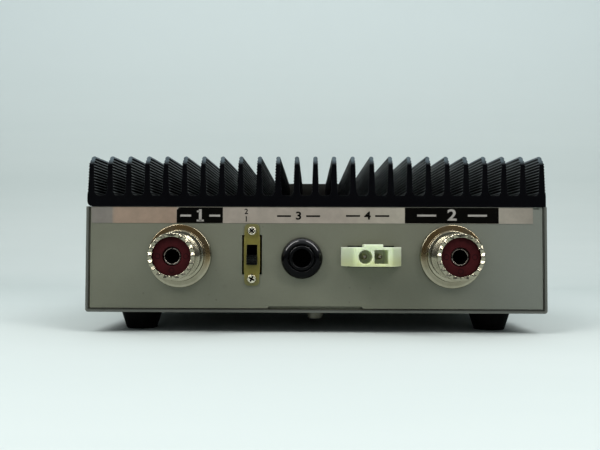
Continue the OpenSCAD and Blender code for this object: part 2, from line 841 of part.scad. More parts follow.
module socket_insulator() {
    difference() {
        translate([0, insulator_y, 0]) rod(socket_insulator_d, insulator_end_y - insulator_y);
        translate([0, insulator_y - cut, 0]) rod(contact_d + 2 * mouth_gap, mouth_l + cut);
        translate([0, insulator_y, 0]) rod(contact_d + 2 * fit_gap, insulator_end_y - insulator_y + cut);
    }
}

module socket_contact() {
    difference() {
        union() {
            translate([0, contact_y, 0]) rod(contact_d, insulator_end_y - contact_y);
            translate([0, insulator_end_y, 0]) rod(contact_tail_d, contact_tail_l);
        }
        translate([0, contact_y - cut, 0]) rod(contact_bore_d, contact_bore_l + cut);
        for (w = [[contact_slit, contact_d * 2], [contact_d * 2, contact_slit]])
            translate([0, contact_y - cut, 0]) beam(w[0], contact_bore_l / 2 + cut, w[1]);
    }
}

module socket_nut() {
    translate([0, panel_in_y, 0]) difference() {
        rotate([-90, 0, 0]) cylinder(d = socket_nut_af / cos(30), h = socket_nut_t, $fn = 6);
        translate([0, -cut, 0]) rod(socket_tail_d + 2 * fit_gap, socket_nut_t + 2 * cut);
    }
}

module at_antenna_socket() at_case() translate([-socket_x, 0, socket_z]) children();
module at_input_socket() at_case() translate([socket_x, 0, socket_z]) children();

module antenna_socket_shell() { color(nickel) at_antenna_socket() socket_shell(); }
module antenna_socket_insulator() { color(maroon) at_antenna_socket() socket_insulator(); }
module antenna_socket_contact() { color(nickel) at_antenna_socket() socket_contact(); }
module antenna_socket_nut() { color(nickel) at_antenna_socket() socket_nut(); }
module input_socket_shell() { color(nickel) at_input_socket() socket_shell(); }
module input_socket_insulator() { color(maroon) at_input_socket() socket_insulator(); }
module input_socket_contact() { color(nickel) at_input_socket() socket_contact(); }
module input_socket_nut() { color(nickel) at_input_socket() socket_nut(); }

// slide switch between the antenna socket and the jack

module at_switch() at_case() translate([switch_x, 0, switch_z]) children();

module level_switch_frame() {
    color(passivated) at_switch() difference() {
        union() {
            translate([0, switch_face_y, 0]) beam(switch_ear_w, switch_plate_t, switch_plate_h);
            translate([0, switch_face_y, 0])
                beam(switch_can_w, switch_plate_t + switch_can_l, switch_can_h);
        }
        translate([0, panel_inset, 0])
            beam(switch_can_w - 2 * can_wall, switch_can_l + cut, switch_can_h - 2 * can_wall);
        translate([0, switch_face_y - cut, 0]) beam(window_w, switch_plate_t + 2 * cut, window_h);
        for (s = [-1, 1]) translate([0, switch_face_y - cut, s * switch_pitch / 2])
            rod(small_screw_d + 2 * screw_gap, switch_plate_t + 2 * cut);
    }
}

module level_switch_body() {
    w = switch_can_w - 2 * can_wall - 2 * fit_gap;
    h = switch_can_h - 2 * can_wall - 2 * fit_gap;
    color(black_plastic) at_switch() difference() {
        translate([0, panel_inset, 0]) beam(w, switch_can_l + switch_body_past, h);
        translate([0, panel_inset - cut, 0])
            beam(window_w, switch_can_l - switch_block_l + cut, window_h);
    }
}

module level_switch_terminals() {
    color(zinc) at_switch() for (i = [-1:1])
        translate([0, switch_end_y, i * terminal_pitch]) beam(terminal_t, terminal_l, terminal_w);
}

module level_switch_screws() {
    color(nickel) at_switch() for (s = [-1, 1])
        translate([0, switch_face_y, s * switch_pitch / 2]) rotate([-90, 0, 0])
            screw(small_screw_d, small_head_d, small_head_h, switch_plate_t + panel_t + 1);
}

module level_switch_knob() {
    w = window_w - 2 * slider_gap;
    color(black_plastic) at_case() translate([switch_x, switch_face_y - slider_out, slider_z])
        difference() {
            slab(w, slider_out + switch_plate_t + slider_foot_l, slider_h);
            for (i = [1:3]) translate([0, -cut, i * slider_h / 4 - groove_h / 2])
                slab(w + cut, cut + groove_in, groove_h);
        }
}

// remote jack

module at_jack() at_case() translate([jack_x, 0, jack_z]) children();

module remote_jack_body() {
    color(black_plastic) at_jack() difference() {
        union() {
            translate([0, jack_front_y, 0]) rod(jack_bush_d, panel_in_y - jack_front_y);
            translate([0, panel_in_y, 0]) beam(jack_box_w, jack_box_l, jack_box_w);
        }
        translate([0, jack_front_y - cut, 0]) rod(jack_bore_d, jack_bore_l + cut);
        translate([0, jack_front_y - cut, 0])
            rod(jack_bore_d + 2 * jack_mouth, jack_mouth + cut, jack_bore_d);
    }
}

module remote_jack_nut() {
    inner = jack_bush_d / 2 + fit_gap;
    outer = jack_nut_d / 2;
    color(black_plastic) at_jack() translate([0, panel_inset, 0]) rotate([90, 0, 0]) rotate_extrude()
        intersection() {
            translate([inner, 0]) square([outer, jack_nut_h]);
            union() {
                square([outer, jack_nut_h - jack_nut_r]);
                square([outer - jack_nut_r, jack_nut_h]);
                translate([outer - jack_nut_r, jack_nut_h - jack_nut_r]) circle(jack_nut_r);
            }
        }
}

module remote_jack_contacts() {
    color(zinc) at_jack() for (s = [-1, 1])
        translate([0, panel_in_y + jack_box_l / 2, s * (jack_box_w + jack_tag_t) / 2])
            beam(jack_tag_w, jack_box_l / 2 + jack_tag_l, jack_tag_t);
}

// moulded power inlet

module at_inlet() at_case() translate([inlet_x, 0, inlet_z]) children();

module power_inlet_housing() {
    web_y = inlet_front_y + cavity_l;
    color(ivory) at_inlet() difference() {
        union() {
            translate([0, inlet_front_y, 0]) beam(inlet_w, inlet_end_y - inlet_front_y, inlet_h);
            translate([0, inlet_front_y, inlet_h / 2])
                slab(inlet_tab_w, inlet_out - inlet_tab_end, inlet_tab_h);
            translate([0, panel_in_y, 0]) beam(inlet_flange_w, inlet_flange_t, inlet_flange_h);
            for (s = [0, 1]) mirror([s, 0, 0]) translate([0, 0, -inlet_h / 2])
                linear_extrude(inlet_h) polygon([
                    [inlet_w / 2, inlet_front_y],
                    [inlet_ear_w / 2, panel_inset - inlet_ear_lip],
                    [inlet_ear_w / 2, panel_inset],
                    [inlet_ear_w / 2 - inlet_ear_t, panel_inset],
                    [inlet_w / 2, inlet_front_y + inlet_ear_root]
                ]);
        }
        translate([-cavity_pitch / 2, inlet_front_y - cut, 0]) rod(cavity_w, cavity_l + cut);
        translate([cavity_pitch / 2, inlet_front_y - cut, 0]) beam(cavity_w, cavity_l + cut, cavity_w);
        for (s = [-1, 1]) translate([s * cavity_pitch / 2, web_y - cut, 0])
            rod(inlet_pin_d + 2 * fit_gap, inlet_end_y - web_y + 2 * cut);
    }
}

module power_inlet_pins() {
    tip_y = inlet_front_y + inlet_pin_in;
    color(zinc) at_inlet() for (s = [-1, 1]) translate([s * cavity_pitch / 2, tip_y, 0]) {
        rod(inlet_pin_d / 2, inlet_pin_d / 2, inlet_pin_d);
        translate([0, inlet_pin_d / 2, 0]) rod(inlet_pin_d, inlet_pin_end_y - tip_y - inlet_pin_d / 2);
    }
}

// front chassis, front panel and facia plate

module dial_place() translate([dial_x, 0, control_z]) children();
module button_places() for (x = [power_x, preamp_x]) translate([x, 0, control_z]) children();
module lamp_places() for (x = lamp_xs) translate([x, 0, control_z]) children();
module boss_places() for (x = [-boss_x, boss_x], z = boss_z) translate([x, 0, z]) children();

module front_chassis() {
    color(plated) at_case() difference() {
        translate([0, case_l, 0]) mirror([0, 1, 0]) difference() {
            sheet_panel();
            panel_screw_holes();
        }
        translate([0, chassis_y - cut, 0]) {
            dial_place() rod(bush_d + 2 * screw_gap, panel_t + 2 * cut);
            button_places() beam(stem_w + 2 * stem_gap, panel_t + 2 * cut, stem_w + 2 * stem_gap);
            lamp_places() rod(lamp_d + 2 * facia_gap, panel_t + 2 * cut);
            boss_places() rod(screw_hole_d, panel_t + 2 * cut);
        }
    }
}

module front_panel() {
    mid_z = front_low_z + front_h / 2;
    pocket_h = sink_z - pocket_high - pocket_low_z;
    color(black_plastic) at_case() difference() {
        union() {
            difference() {
                translate([0, case_l, mid_z]) plate(front_t) round_rect(case_w, front_h, front_r);
                translate([0, case_l - cut, pocket_low_z + pocket_h / 2])
                    beam(case_w - 2 * pocket_edge, pocket_y - case_l + cut, pocket_h);
            }
            translate([0, case_l, 0]) boss_places() rod(boss_d, front_t - facia_t);
        }
        translate([0, facia_y, mid_z]) beam(facia_w, facia_t + cut, facia_h);
        translate([0, case_l, 0]) {
            dial_place() rod(bush_d + 2 * facia_gap, front_t);
            button_places() beam(button_w + 2 * facia_gap, front_t, button_h + 2 * facia_gap);
            lamp_places() rod(lamp_d + 2 * facia_gap, front_t);
            translate([0, -cut, 0]) boss_places() rod(screw_hole_d, front_t - facia_t - boss_skin + cut);
        }
    }
}

module facia_plate() {
    mid_z = front_low_z + front_h / 2;
    color(black_plastic) at_case() translate([0, facia_y, 0]) difference() {
        translate([0, 0, mid_z]) beam(facia_w - 2 * facia_gap, facia_t, facia_h - 2 * facia_gap);
        translate([0, -cut, 0]) {
            dial_place() rod(bush_d + 2 * facia_gap, facia_t + 2 * cut);
            button_places() beam(button_w + 2 * facia_gap, facia_t + 2 * cut, button_h + 2 * facia_gap);
            lamp_places() rod(lamp_d + 2 * facia_gap, facia_t + 2 * cut);
        }
    }
}

module front_panel_screws() {
    l = panel_t + front_t - facia_t - boss_skin - screw_past;
    color(zinc) at_case() translate([0, chassis_y, 0]) boss_places() rotate([-90, 0, 0]) case_screw(l);
}

// band switch, its shaft and its knob

module at_dial() at_case() dial_place() children();

module band_switch_body() {
    body_y = front_board_y + board_t;
    color(black_plastic) at_dial() difference() {
        union() {
            translate([0, body_y, 0]) beam(band_box_w, front_board_gap, band_box_w);
            translate([0, chassis_y, 0]) rod(bush_d, bush_end_y - chassis_y);
        }
        translate([0, rotor_y - rotor_gap, 0]) rod(shaft_hole_d, bush_end_y - rotor_y + rotor_gap + cut);
        translate([0, body_y - cut, 0])
            rod(rotor_d + 2 * rotor_gap, rotor_y + rotor_t + rotor_gap - body_y + cut);
    }
}

module band_switch_nut() {
    color(zinc) at_dial() translate([0, case_l, 0]) difference() {
        rotate([-90, 0, 0]) cylinder(d = bush_d * 1.5, h = nut_t, $fn = 6);
        translate([0, -cut, 0]) rod(bush_d + 2 * fit_gap, nut_t + 2 * cut);
    }
}

module band_switch_shaft() {
    color(zinc) at_dial() translate([0, rotor_y - shaft_past, 0])
        rod(shaft_d, shaft_end_y - rotor_y + shaft_past);
}

module band_switch_rotor() {
    color(ivory) at_dial() translate([0, rotor_y, 0]) difference() {
        rod(rotor_d, rotor_t);
        translate([0, -cut, 0]) rod(shaft_d + 2 * fit_gap, rotor_t + 2 * cut);
    }
}

module pointer_bar(grow) {
    middle = knob_top_d / 2 - pointer_edge - pointer_l / 2;
    rotate([0, rest_turn, 0]) translate([0, knob_y + knob_l - pointer_t - grow, middle])
        beam(pointer_w + 2 * grow, pointer_t + (grow > 0 ? grow + cut : 0), pointer_l + 2 * grow);
}

module band_knob() {
    color(black_plastic) at_dial() difference() {
        union() {
            translate([0, knob_y, 0]) rod(knob_d, skirt_l, knob_d - knob_draft);
            translate([0, knob_grip_y, 0])
                rod(knob_top_d + knob_draft, knob_l - skirt_l, knob_top_d);
        }
        translate([0, knob_y - cut, 0])
            rod(shaft_d + 2 * fit_gap, shaft_end_y - knob_y + shaft_end_gap + cut);
        for (i = [0:knob_flutes - 1]) rotate([0, 360 * i / knob_flutes, 0])
            translate([0, knob_grip_y, knob_top_d / 2 + flute_d / 2]) rod(flute_d, knob_l);
        pointer_bar(fit_gap);
    }
}

module band_knob_pointer() { color("white") at_dial() pointer_bar(0); }

// push buttons and their switches

module button(x) {
    translate([x, 0, control_z]) {
        translate([0, cap_back_y, 0]) beam(button_w, cap_front_y - cap_back_y, button_h);
        translate([0, stem_end_y, 0]) beam(stem_w, cap_back_y - stem_end_y, stem_w);
    }
}

module button_switch(x) {
    translate([x, front_board_y + board_t, control_z]) difference() {
        beam(button_box_w, front_board_gap, button_box_h);
        translate([0, stem_end_y - button_travel - stem_end_gap - front_board_y - board_t, 0])
            beam(stem_w + 2 * stem_gap, front_board_gap, stem_w + 2 * stem_gap);
    }
}

module power_button() { color(black_plastic) at_case() button(power_x); }
module power_switch_body() { color(ivory) at_case() button_switch(power_x); }
module preamp_button() { color(black_plastic) at_case() button(preamp_x); }
module preamp_switch_body() { color(ivory) at_case() button_switch(preamp_x); }

module indicator_lamps() {
    color([0.7, 0.1, 0.08]) at_case() lamp_places() {
        translate([0, lamp_back_y, 0]) rod(lamp_d, front_y - lamp_back_y);
        translate([0, front_y, 0]) intersection() {
            sphere(d = lamp_d);
            beam(lamp_d, lamp_d, lamp_d);
        }
        for (s = [-1, 1]) translate([s * lamp_d / 4, front_board_y + board_t, 0])
            rod(lamp_leg_d, lamp_back_y - front_board_y - board_t);
    }
}

// boards and what they carry

module front_board() {
    h = board_z - front_board_drop - front_board_low_z;
    w = power_x - dial_x + 2 * front_board_side;
    color(board_green) at_case()
        translate([(power_x + dial_x) / 2, front_board_y, front_board_low_z]) slab(w, board_t, h);
}

module main_board() {
    color(board_green) at_case() translate([0, 0, board_z]) difference() {
        translate([0, board_y, 0]) slab(board_w, board_l, board_t);
        for (x = spacer_xs, y = spacer_ys) translate([x, y, -cut])
            cylinder(d = screw_hole_d, h = board_t + 2 * cut);
        for (x = transistor_xs)
            translate([x, transistor_y - flange_bar_w / 2 - transistor_room, -cut])
                slab(flange_bar_l + 2 * transistor_room, flange_bar_w + 2 * transistor_room,
                     board_t + 2 * cut);
    }
}

module board_spacers() {
    color(nickel) at_case() for (x = spacer_xs, y = spacer_ys)
        translate([x, y, board_top_z]) difference() {
            cylinder(d = spacer_d, h = board_drop);
            translate([0, 0, -cut]) cylinder(d = screw_hole_d, h = board_drop + 2 * cut);
        }
}

module board_screws() {
    l = board_t + board_drop + tap_depth - tap_gap;
    color(zinc) at_case() for (x = spacer_xs, y = spacer_ys)
        translate([x, y, board_z]) case_screw(l);
}

module power_transistors() {
    color(nickel) at_case() for (x = transistor_xs)
        translate([x, transistor_y, sink_z - flange_bar_t]) {
            difference() {
                translate([0, -flange_bar_w / 2, 0]) slab(flange_bar_l, flange_bar_w, flange_bar_t);
                for (s = [-1, 1]) translate([s * transistor_hole_x, 0, -cut])
                    cylinder(d = screw_hole_d, h = flange_bar_t + 2 * cut);
            }
            translate([0, -flange_bar_w / 2, flange_bar_t - transistor_h])
                slab(transistor_cap_l, flange_bar_w, transistor_h - flange_bar_t);
        }
}

module transistor_screws() {
    l = flange_bar_t + tap_depth - tap_gap;
    color(zinc) at_case() for (x = transistor_xs, s = [-1, 1])
        translate([x + s * transistor_hole_x, transistor_y, sink_z - flange_bar_t]) case_screw(l);
}

module changeover_relays() {
    color(black_plastic) at_case() for (s = [-1, 1])
        translate([s * (socket_x + relay_shift), relay_y, board_z - relay_h])
            slab(relay_w, relay_l, relay_h);
}

module toroid_coils() {
    color([0.45, 0.25, 0.1]) at_case() for (x = toroid_xs)
        translate([x, coil_y, board_z - toroid_h]) difference() {
            cylinder(d = toroid_d, h = toroid_h);
            translate([0, 0, -cut]) cylinder(d = toroid_d / 2, h = toroid_h + 2 * cut);
        }
}

module electrolytic_capacitors() {
    color(black_plastic) at_case() for (x = cap_xs)
        translate([x, board_y + cap_row, board_z - cap_h]) cylinder(d = cap_d, h = cap_h);
}

module tuned_coil_cans() {
    color(zinc) at_case() for (x = can_xs)
        translate([x, coil_y - can_w / 2, board_z - can_h]) slab(can_w, can_w, can_h);
}

module crystals() {
    color(zinc) at_case() for (x = crystal_xs)
        translate([x, coil_y - crystal_l / 2, board_z - can_h]) slab(crystal_w, crystal_l, can_h);
}

module shield_wall() {
    color(zinc) at_case() translate([shield_x, board_y + board_l - shield_row, board_z - can_h])
        slab(shield_w, shield_t, can_h);
}

module coax_jumpers() {
    color(black_plastic) at_case() for (s = [-1, 1]) translate([s * socket_x, 0, 0])
        rising_lead(coax_d, insulator_end_y + contact_tail_l, socket_z, lead_turn_y);
}

module power_leads() {
    color([0.5, 0.05, 0.05]) at_case() for (s = [-1, 1])
        translate([inlet_x + s * cavity_pitch / 2, 0, 0])
            rising_lead(lead_d, inlet_pin_end_y, inlet_z, lead_turn_y);
}

module signal_leads() {
    color([0.75, 0.72, 0.3]) at_case() {
        for (i = [-1:1]) translate([switch_x, 0, 0])
            rising_lead(wire_d, switch_end_y + terminal_l, switch_z + i * terminal_pitch,
                        lead_turn_y - 2 * i * wire_d);
        translate([jack_x, 0, 0])
            rising_lead(wire_d, panel_in_y + jack_box_l + jack_tag_l,
                        jack_z - (jack_box_w + jack_tag_t) / 2, lead_turn_y + 2 * wire_d);
    }
}

module ribbon_cable() {
    start_z = front_board_low_z + ribbon_up;
    rise_y = front_board_y - board_gap - ribbon_in;
    color([0.6, 0.6, 0.62]) at_case() translate([ribbon_x - ribbon_w / 2, 0, 0]) rotate([90, 0, 90])
        linear_extrude(ribbon_w) polygon([
            [front_board_y, start_z], [front_board_y, start_z + ribbon_t],
            [rise_y, start_z + ribbon_t], [rise_y, board_z],
            [rise_y - ribbon_t, board_z], [rise_y - ribbon_t, start_z]
        ]);
}

heatsink();
bottom_cover();
rear_panel();
front_chassis();
front_panel();
facia_plate();
rear_label();
heatsink_screws();
cover_side_screws();
cover_bottom_screws();
front_panel_screws();
feet();
foot_screws();
foot_nuts();
antenna_socket_shell();
antenna_socket_insulator();
antenna_socket_contact();
antenna_socket_nut();
input_socket_shell();
input_socket_insulator();
input_socket_contact();
input_socket_nut();
level_switch_frame();
level_switch_body();
level_switch_terminals();
level_switch_screws();
level_switch_knob();
remote_jack_body();
remote_jack_nut();
remote_jack_contacts();
power_inlet_housing();
power_inlet_pins();
band_switch_body();
band_switch_nut();
band_switch_shaft();
band_switch_rotor();
band_knob();
band_knob_pointer();
power_button();
power_switch_body();
preamp_button();
preamp_switch_body();
indicator_lamps();
front_board();
main_board();
board_spacers();
board_screws();
power_transistors();
transistor_screws();
changeover_relays();
toroid_coils();
electrolytic_capacitors();
tuned_coil_cans();
crystals();
shield_wall();
coax_jumpers();
power_leads();
signal_leads();
ribbon_cable();
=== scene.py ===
import math

import bmesh
import bpy
from mathutils import Matrix, Vector


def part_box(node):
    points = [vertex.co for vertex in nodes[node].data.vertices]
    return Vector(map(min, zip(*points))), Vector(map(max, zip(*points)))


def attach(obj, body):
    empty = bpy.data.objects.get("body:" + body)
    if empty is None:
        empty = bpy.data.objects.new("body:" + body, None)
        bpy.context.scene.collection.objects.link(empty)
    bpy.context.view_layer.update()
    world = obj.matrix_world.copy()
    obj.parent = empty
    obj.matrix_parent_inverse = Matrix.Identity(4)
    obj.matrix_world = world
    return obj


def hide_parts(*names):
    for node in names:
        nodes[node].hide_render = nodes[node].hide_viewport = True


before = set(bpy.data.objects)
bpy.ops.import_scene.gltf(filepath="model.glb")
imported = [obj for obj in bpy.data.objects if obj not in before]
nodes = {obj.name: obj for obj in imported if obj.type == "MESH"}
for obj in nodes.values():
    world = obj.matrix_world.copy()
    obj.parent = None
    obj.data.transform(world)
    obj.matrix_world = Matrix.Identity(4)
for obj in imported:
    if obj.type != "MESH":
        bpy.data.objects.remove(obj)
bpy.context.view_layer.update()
mm = 0.001


# colours are written as they are seen, 0 to 255
def seen(red, green, blue):
    shown = [c / 255 for c in (red, green, blue)]
    return tuple(((c + 0.055) / 1.055) ** 2.4 if c > 0.04 else c / 12.92 for c in shown) + (1.0,)


def middleOf(node):
    low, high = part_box(node)
    return (low + high) / 2


# nodes and node groups

def addNode(tree, kind, values=None, **settings):
    node = tree.nodes.new("ShaderNode" + kind)
    for key, value in settings.items():
        setattr(node, key, value)
    feed(tree, node, values or {})
    return node


def feed(tree, node, values):
    for key, value in values.items():
        if isinstance(value, bpy.types.NodeSocket):
            tree.links.new(value, node.inputs[key])
        else:
            node.inputs[key].default_value = value


def calculate(tree, operation, first, second=0.5, third=0.5, clamp=False):
    node = addNode(tree, "Math", {0: first, 1: second, 2: third}, operation=operation, use_clamp=clamp)
    return node.outputs[0]


def multiply(tree, value, *others):
    for other in others:
        value = calculate(tree, "MULTIPLY", value, other)
    return value


def distance(tree, across, rise):
    squares = [multiply(tree, side, side) for side in (across, rise)]
    return calculate(tree, "SQRT", calculate(tree, "ADD", *squares))


def spread(tree, value, low, high, toLow=0.0, toHigh=1.0, smooth=True):
    node = addNode(tree, "MapRange", {"Value": value, "From Min": low, "From Max": high,
                                      "To Min": toLow, "To Max": toHigh},
                   interpolation_type="SMOOTHSTEP" if smooth else "LINEAR")
    return node.outputs["Result"]


# the same for a place, with its two limits in mm
def between(tree, place, limits, toLow=0.0, toHigh=1.0, smooth=True):
    return spread(tree, place, limits[0] * mm, limits[1] * mm, toLow, toHigh, smooth)


# 1 between the two middle limits and 0 outside the outer two, in mm
def band(tree, place, limits):
    start, full, fade, end = limits
    return multiply(tree, between(tree, place, (start, full)), between(tree, place, (end, fade)))


def blendColours(tree, factor, first, second, kind="MIX"):
    node = addNode(tree, "Mix", {"Factor": factor, 6: first, 7: second}, data_type="RGBA", blend_type=kind)
    return node.outputs[2]


def colourRamp(tree, factor, stops):
    node = addNode(tree, "ValToRGB", {"Fac": factor})
    elements = node.color_ramp.elements
    while len(elements) < len(stops):
        elements.new(0.5)
    for element, (place, colour) in zip(elements, stops):
        element.position = place
        element.color = colour
    return node.outputs["Color"]


def objectPlace(tree):
    return addNode(tree, "SeparateXYZ", {0: addNode(tree, "TexCoord").outputs["Object"]}).outputs


def facing(tree):
    return addNode(tree, "SeparateXYZ", {0: addNode(tree, "NewGeometry").outputs["Normal"]}).outputs


def objectNoise(tree, scale, detail, roughness=0.5, stretch=None):
    place = addNode(tree, "TexCoord").outputs["Object"]
    if stretch is not None:
        place = addNode(tree, "VectorMath", {0: place, 1: stretch}, operation="MULTIPLY").outputs[0]
    noise = addNode(tree, "TexNoise", {"Vector": place, "Scale": scale, "Detail": detail, "Roughness": roughness})
    return noise.outputs["Fac"]


def newGroup(name, inputs, outputs):
    group = bpy.data.node_groups.new(name, "ShaderNodeTree")
    for label, kind, value in inputs:
        socket = group.interface.new_socket(name=label, in_out="INPUT", socket_type="NodeSocket" + kind)
        socket.default_value = value
    for label, kind in outputs:
        group.interface.new_socket(name=label, in_out="OUTPUT", socket_type="NodeSocket" + kind)
    given = group.nodes.new("NodeGroupInput").outputs
    result = group.nodes.new("NodeGroupOutput")
    return group, given, result


def useGroup(tree, group, values):
    node = tree.nodes.new("ShaderNodeGroup")
    node.node_tree = group
    feed(tree, node, values)
    return node.outputs


# two tones that drift into each other over the surface
def makeMottleGroup():
    group, given, result = newGroup("mottle", [
        ("Light", "Color", (1, 1, 1, 1)), ("Dark", "Color", (0, 0, 0, 1)), ("Scale", "Float", 40.0),
        ("Stretch", "Vector", (1, 1, 1)), ("Contrast", "Float", 0.25)], [("Color", "Color"), ("Value", "Float")])
    noise = objectNoise(group, given["Scale"], 4.0, 0.6, given["Stretch"])
    low = calculate(group, "SUBTRACT", 0.5, given["Contrast"])
    high = calculate(group, "ADD", 0.5, given["Contrast"])
    value = spread(group, noise, low, high)
    feed(group, result, {"Value": value, "Color": blendColours(group, value, given["Dark"], given["Light"])})
    return group


# fine even grain for bump and gloss
def makeGrainGroup():
    group, given, result = newGroup("grain", [("Scale", "Float", 2000.0), ("Stretch", "Vector", (1, 1, 1))],
                                    [("Value", "Float")])
    feed(group, result, {"Value": objectNoise(group, given["Scale"], 2.0, stretch=given["Stretch"])})
    return group


# small separate spots
def makeSpotsGroup():
    group, given, result = newGroup("spots", [
        ("Scale", "Float", 300.0), ("Size", "Float", 0.2), ("Share", "Float", 0.3)], [("Mask", "Float")])
    place = addNode(group, "TexCoord").outputs["Object"]
    cells = addNode(group, "TexVoronoi", {"Vector": place, "Scale": given["Scale"], "Randomness": 1.0}).outputs
    pick = addNode(group, "SeparateColor", {0: cells["Color"]}).outputs
    wanted = calculate(group, "LESS_THAN", pick[0], given["Share"])
    inside = spread(group, cells["Distance"], multiply(group, given["Size"], pick[1]), 0.0)
    feed(group, result, {"Mask": multiply(group, inside, pick[2], wanted)})
    return group


# 1 along rounded edges, broken up by noise; it carries both real wear and painted edge highlights
def makeEdgeGroup():
    group, given, result = newGroup("edgeWearAndSheen", [
        ("Radius", "Float", 0.0003), ("Breaks", "Float", 300.0), ("Amount", "Float", 0.8)], [("Mask", "Float")])
    normal = addNode(group, "NewGeometry").outputs["Normal"]
    rounded = addNode(group, "Bevel", {"Radius": given["Radius"]}, samples=4).outputs["Normal"]
    dot = addNode(group, "VectorMath", {0: normal, 1: rounded}, operation="DOT_PRODUCT").outputs["Value"]
    noise = objectNoise(group, given["Breaks"], 3.0)
    broken = multiply(group, spread(group, dot, 0.985, 0.9), spread(group, noise, 0.3, 0.6))
    feed(group, result, {"Mask": calculate(group, "MULTIPLY", broken, given["Amount"], clamp=True)})
    return group


# dust that settles on what faces up
def makeDustGroup():
    group, given, result = newGroup("dust", [("Scale", "Float", 120.0), ("Amount", "Float", 0.3)],
                                    [("Mask", "Float")])
    noise = objectNoise(group, given["Scale"], 5.0, 0.7)
    lying = multiply(group, spread(group, facing(group)["Z"], 0.55, 0.95), spread(group, noise, 0.35, 0.75))
    feed(group, result, {"Mask": calculate(group, "MULTIPLY", lying, given["Amount"], clamp=True)})
    return group


mottleGroup = makeMottleGroup()
grainGroup = makeGrainGroup()
spotsGroup = makeSpotsGroup()
edgeGroup = makeEdgeGroup()
dustGroup = makeDustGroup()
dustColour = seen(150, 146, 138)


# a finish with drifting tone, grain, lighter edges and dust; only the two tones have to be given. The lighter edges
# are wear on some finishes and a painted edge highlight on others
def makeFinish(name, light, dark, rough=(0.4, 0.5), drift=60.0, contrast=0.25, grain=2500.0, stretch=(1, 1, 1),
               bump=0.05, metallic=0.0, wear=None, wearRadius=0.00025, wearAmount=0.8, dust=0.0, direct=None):
    material = bpy.data.materials.new(name)
    material.use_nodes = True
    tree = material.node_tree
    colour = useGroup(tree, mottleGroup, {"Light": light, "Dark": dark, "Scale": drift, "Contrast": contrast,
                                          "Stretch": stretch})["Color"]
    fine = useGroup(tree, grainGroup, {"Scale": grain, "Stretch": stretch})["Value"]
    gloss = spread(tree, fine, 0.3, 0.7, rough[0], rough[1])
    # worn edges, or on some finishes painted highlights along the edges
    if wear:
        mask = useGroup(tree, edgeGroup, {"Radius": wearRadius, "Amount": wearAmount})["Mask"]
        colour = blendColours(tree, mask, colour, wear)
    if dust:
        mask = useGroup(tree, dustGroup, {"Amount": dust})["Mask"]
        colour = blendColours(tree, mask, colour, dustColour)
        gloss = calculate(tree, "MAXIMUM", gloss, multiply(tree, mask, 0.9))
    height = addNode(tree, "Bump", {"Height": fine, "Strength": bump, "Distance": 0.0002}).outputs["Normal"]
    feed(tree, tree.nodes["Principled BSDF"], {"Base Color": colour, "Roughness": gloss, "Normal": height,
                                               "Metallic": metallic, **(direct or {})})
    return material


# lays a colour over a finish, as strongly as the mask says
def paintOver(material, mask, colour, kind="MIX"):
    tree = material.node_tree
    shader = tree.nodes["Principled BSDF"]
    below = shader.inputs["Base Color"].links[0].from_socket
    feed(tree, shader, {"Base Color": blendColours(tree, mask, below, colour, kind)})


print("finishes")

finishes = {}

plateValues = {"light": seen(113, 114, 99), "dark": seen(104, 105, 90), "worn": seen(122, 122, 110),
               "edge": seen(96, 98, 92), "edgeDark": seen(86, 88, 82), "gapShade": seen(26, 26, 19),
               "under": seen(64, 64, 51), "underDark": seen(46, 46, 37), "thickness": 1.2, "line": 0.45,
               "speck": seen(60, 60, 46), "spots": ((420.0, 0.34, 0.2, 0.55), (90.0, 0.16, 0.25, 0.7)),
               "cool": seen(114, 118, 112), "coolFrom": (30.0, 80.0), "coolAmount": 0.7}


# dull plated sheet with fine specks and fewer, larger marks
def makePlatedSheet(name, light, dark):
    material = makeFinish(name, light, dark, rough=(0.42, 0.52), drift=28.0, contrast=0.3, grain=1500.0, bump=0.03,
                          metallic=0.45, wear=plateValues["worn"], wearRadius=0.0002, wearAmount=0.4)
    for scale, size, share, amount in plateValues["spots"]:
        spots = useGroup(material.node_tree, spotsGroup, {"Scale": scale, "Size": size, "Share": share})["Mask"]
        paintOver(material, multiply(material.node_tree, spots, amount), plateValues["speck"])
    return material


# the sheet's tone is cooler towards the right
def coolRightSide(material):
    tree = material.node_tree
    cool = between(tree, objectPlace(tree)["X"], plateValues["coolFrom"], 0.0, plateValues["coolAmount"])
    paintOver(material, cool, plateValues["cool"])


# painted shade: a thin dark line along the inner border of the cover's cut edge, for the shaded gap between cover and
# panel
def paintGapShade(material):
    tree = material.node_tree
    low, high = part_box("bottom_cover")
    place = objectPlace(tree)
    inner = plateValues["thickness"] * mm
    line = plateValues["line"] * mm
    above = spread(tree, place["Z"], low.z + inner - line, low.z + inner - line / 2)
    aside = calculate(tree, "ABSOLUTE", place["X"])
    within = spread(tree, aside, high.x - inner + line, high.x - inner + line / 2)
    paintOver(material, multiply(tree, above, within), plateValues["gapShade"])


anodisedValues = {"body": seen(5, 5, 7), "deep": seen(3, 3, 5), "tip": seen(80, 91, 96), "tips": (60.1, 62.3),
                  "ridgeSheen": seen(116, 122, 123), "groove": seen(2, 2, 3), "crest": 50.4, "pitch": 1.04,
                  "flanks": (49.8, 50.1), "rim": seen(98, 107, 113), "topEdge": (62.7, 62.9)}
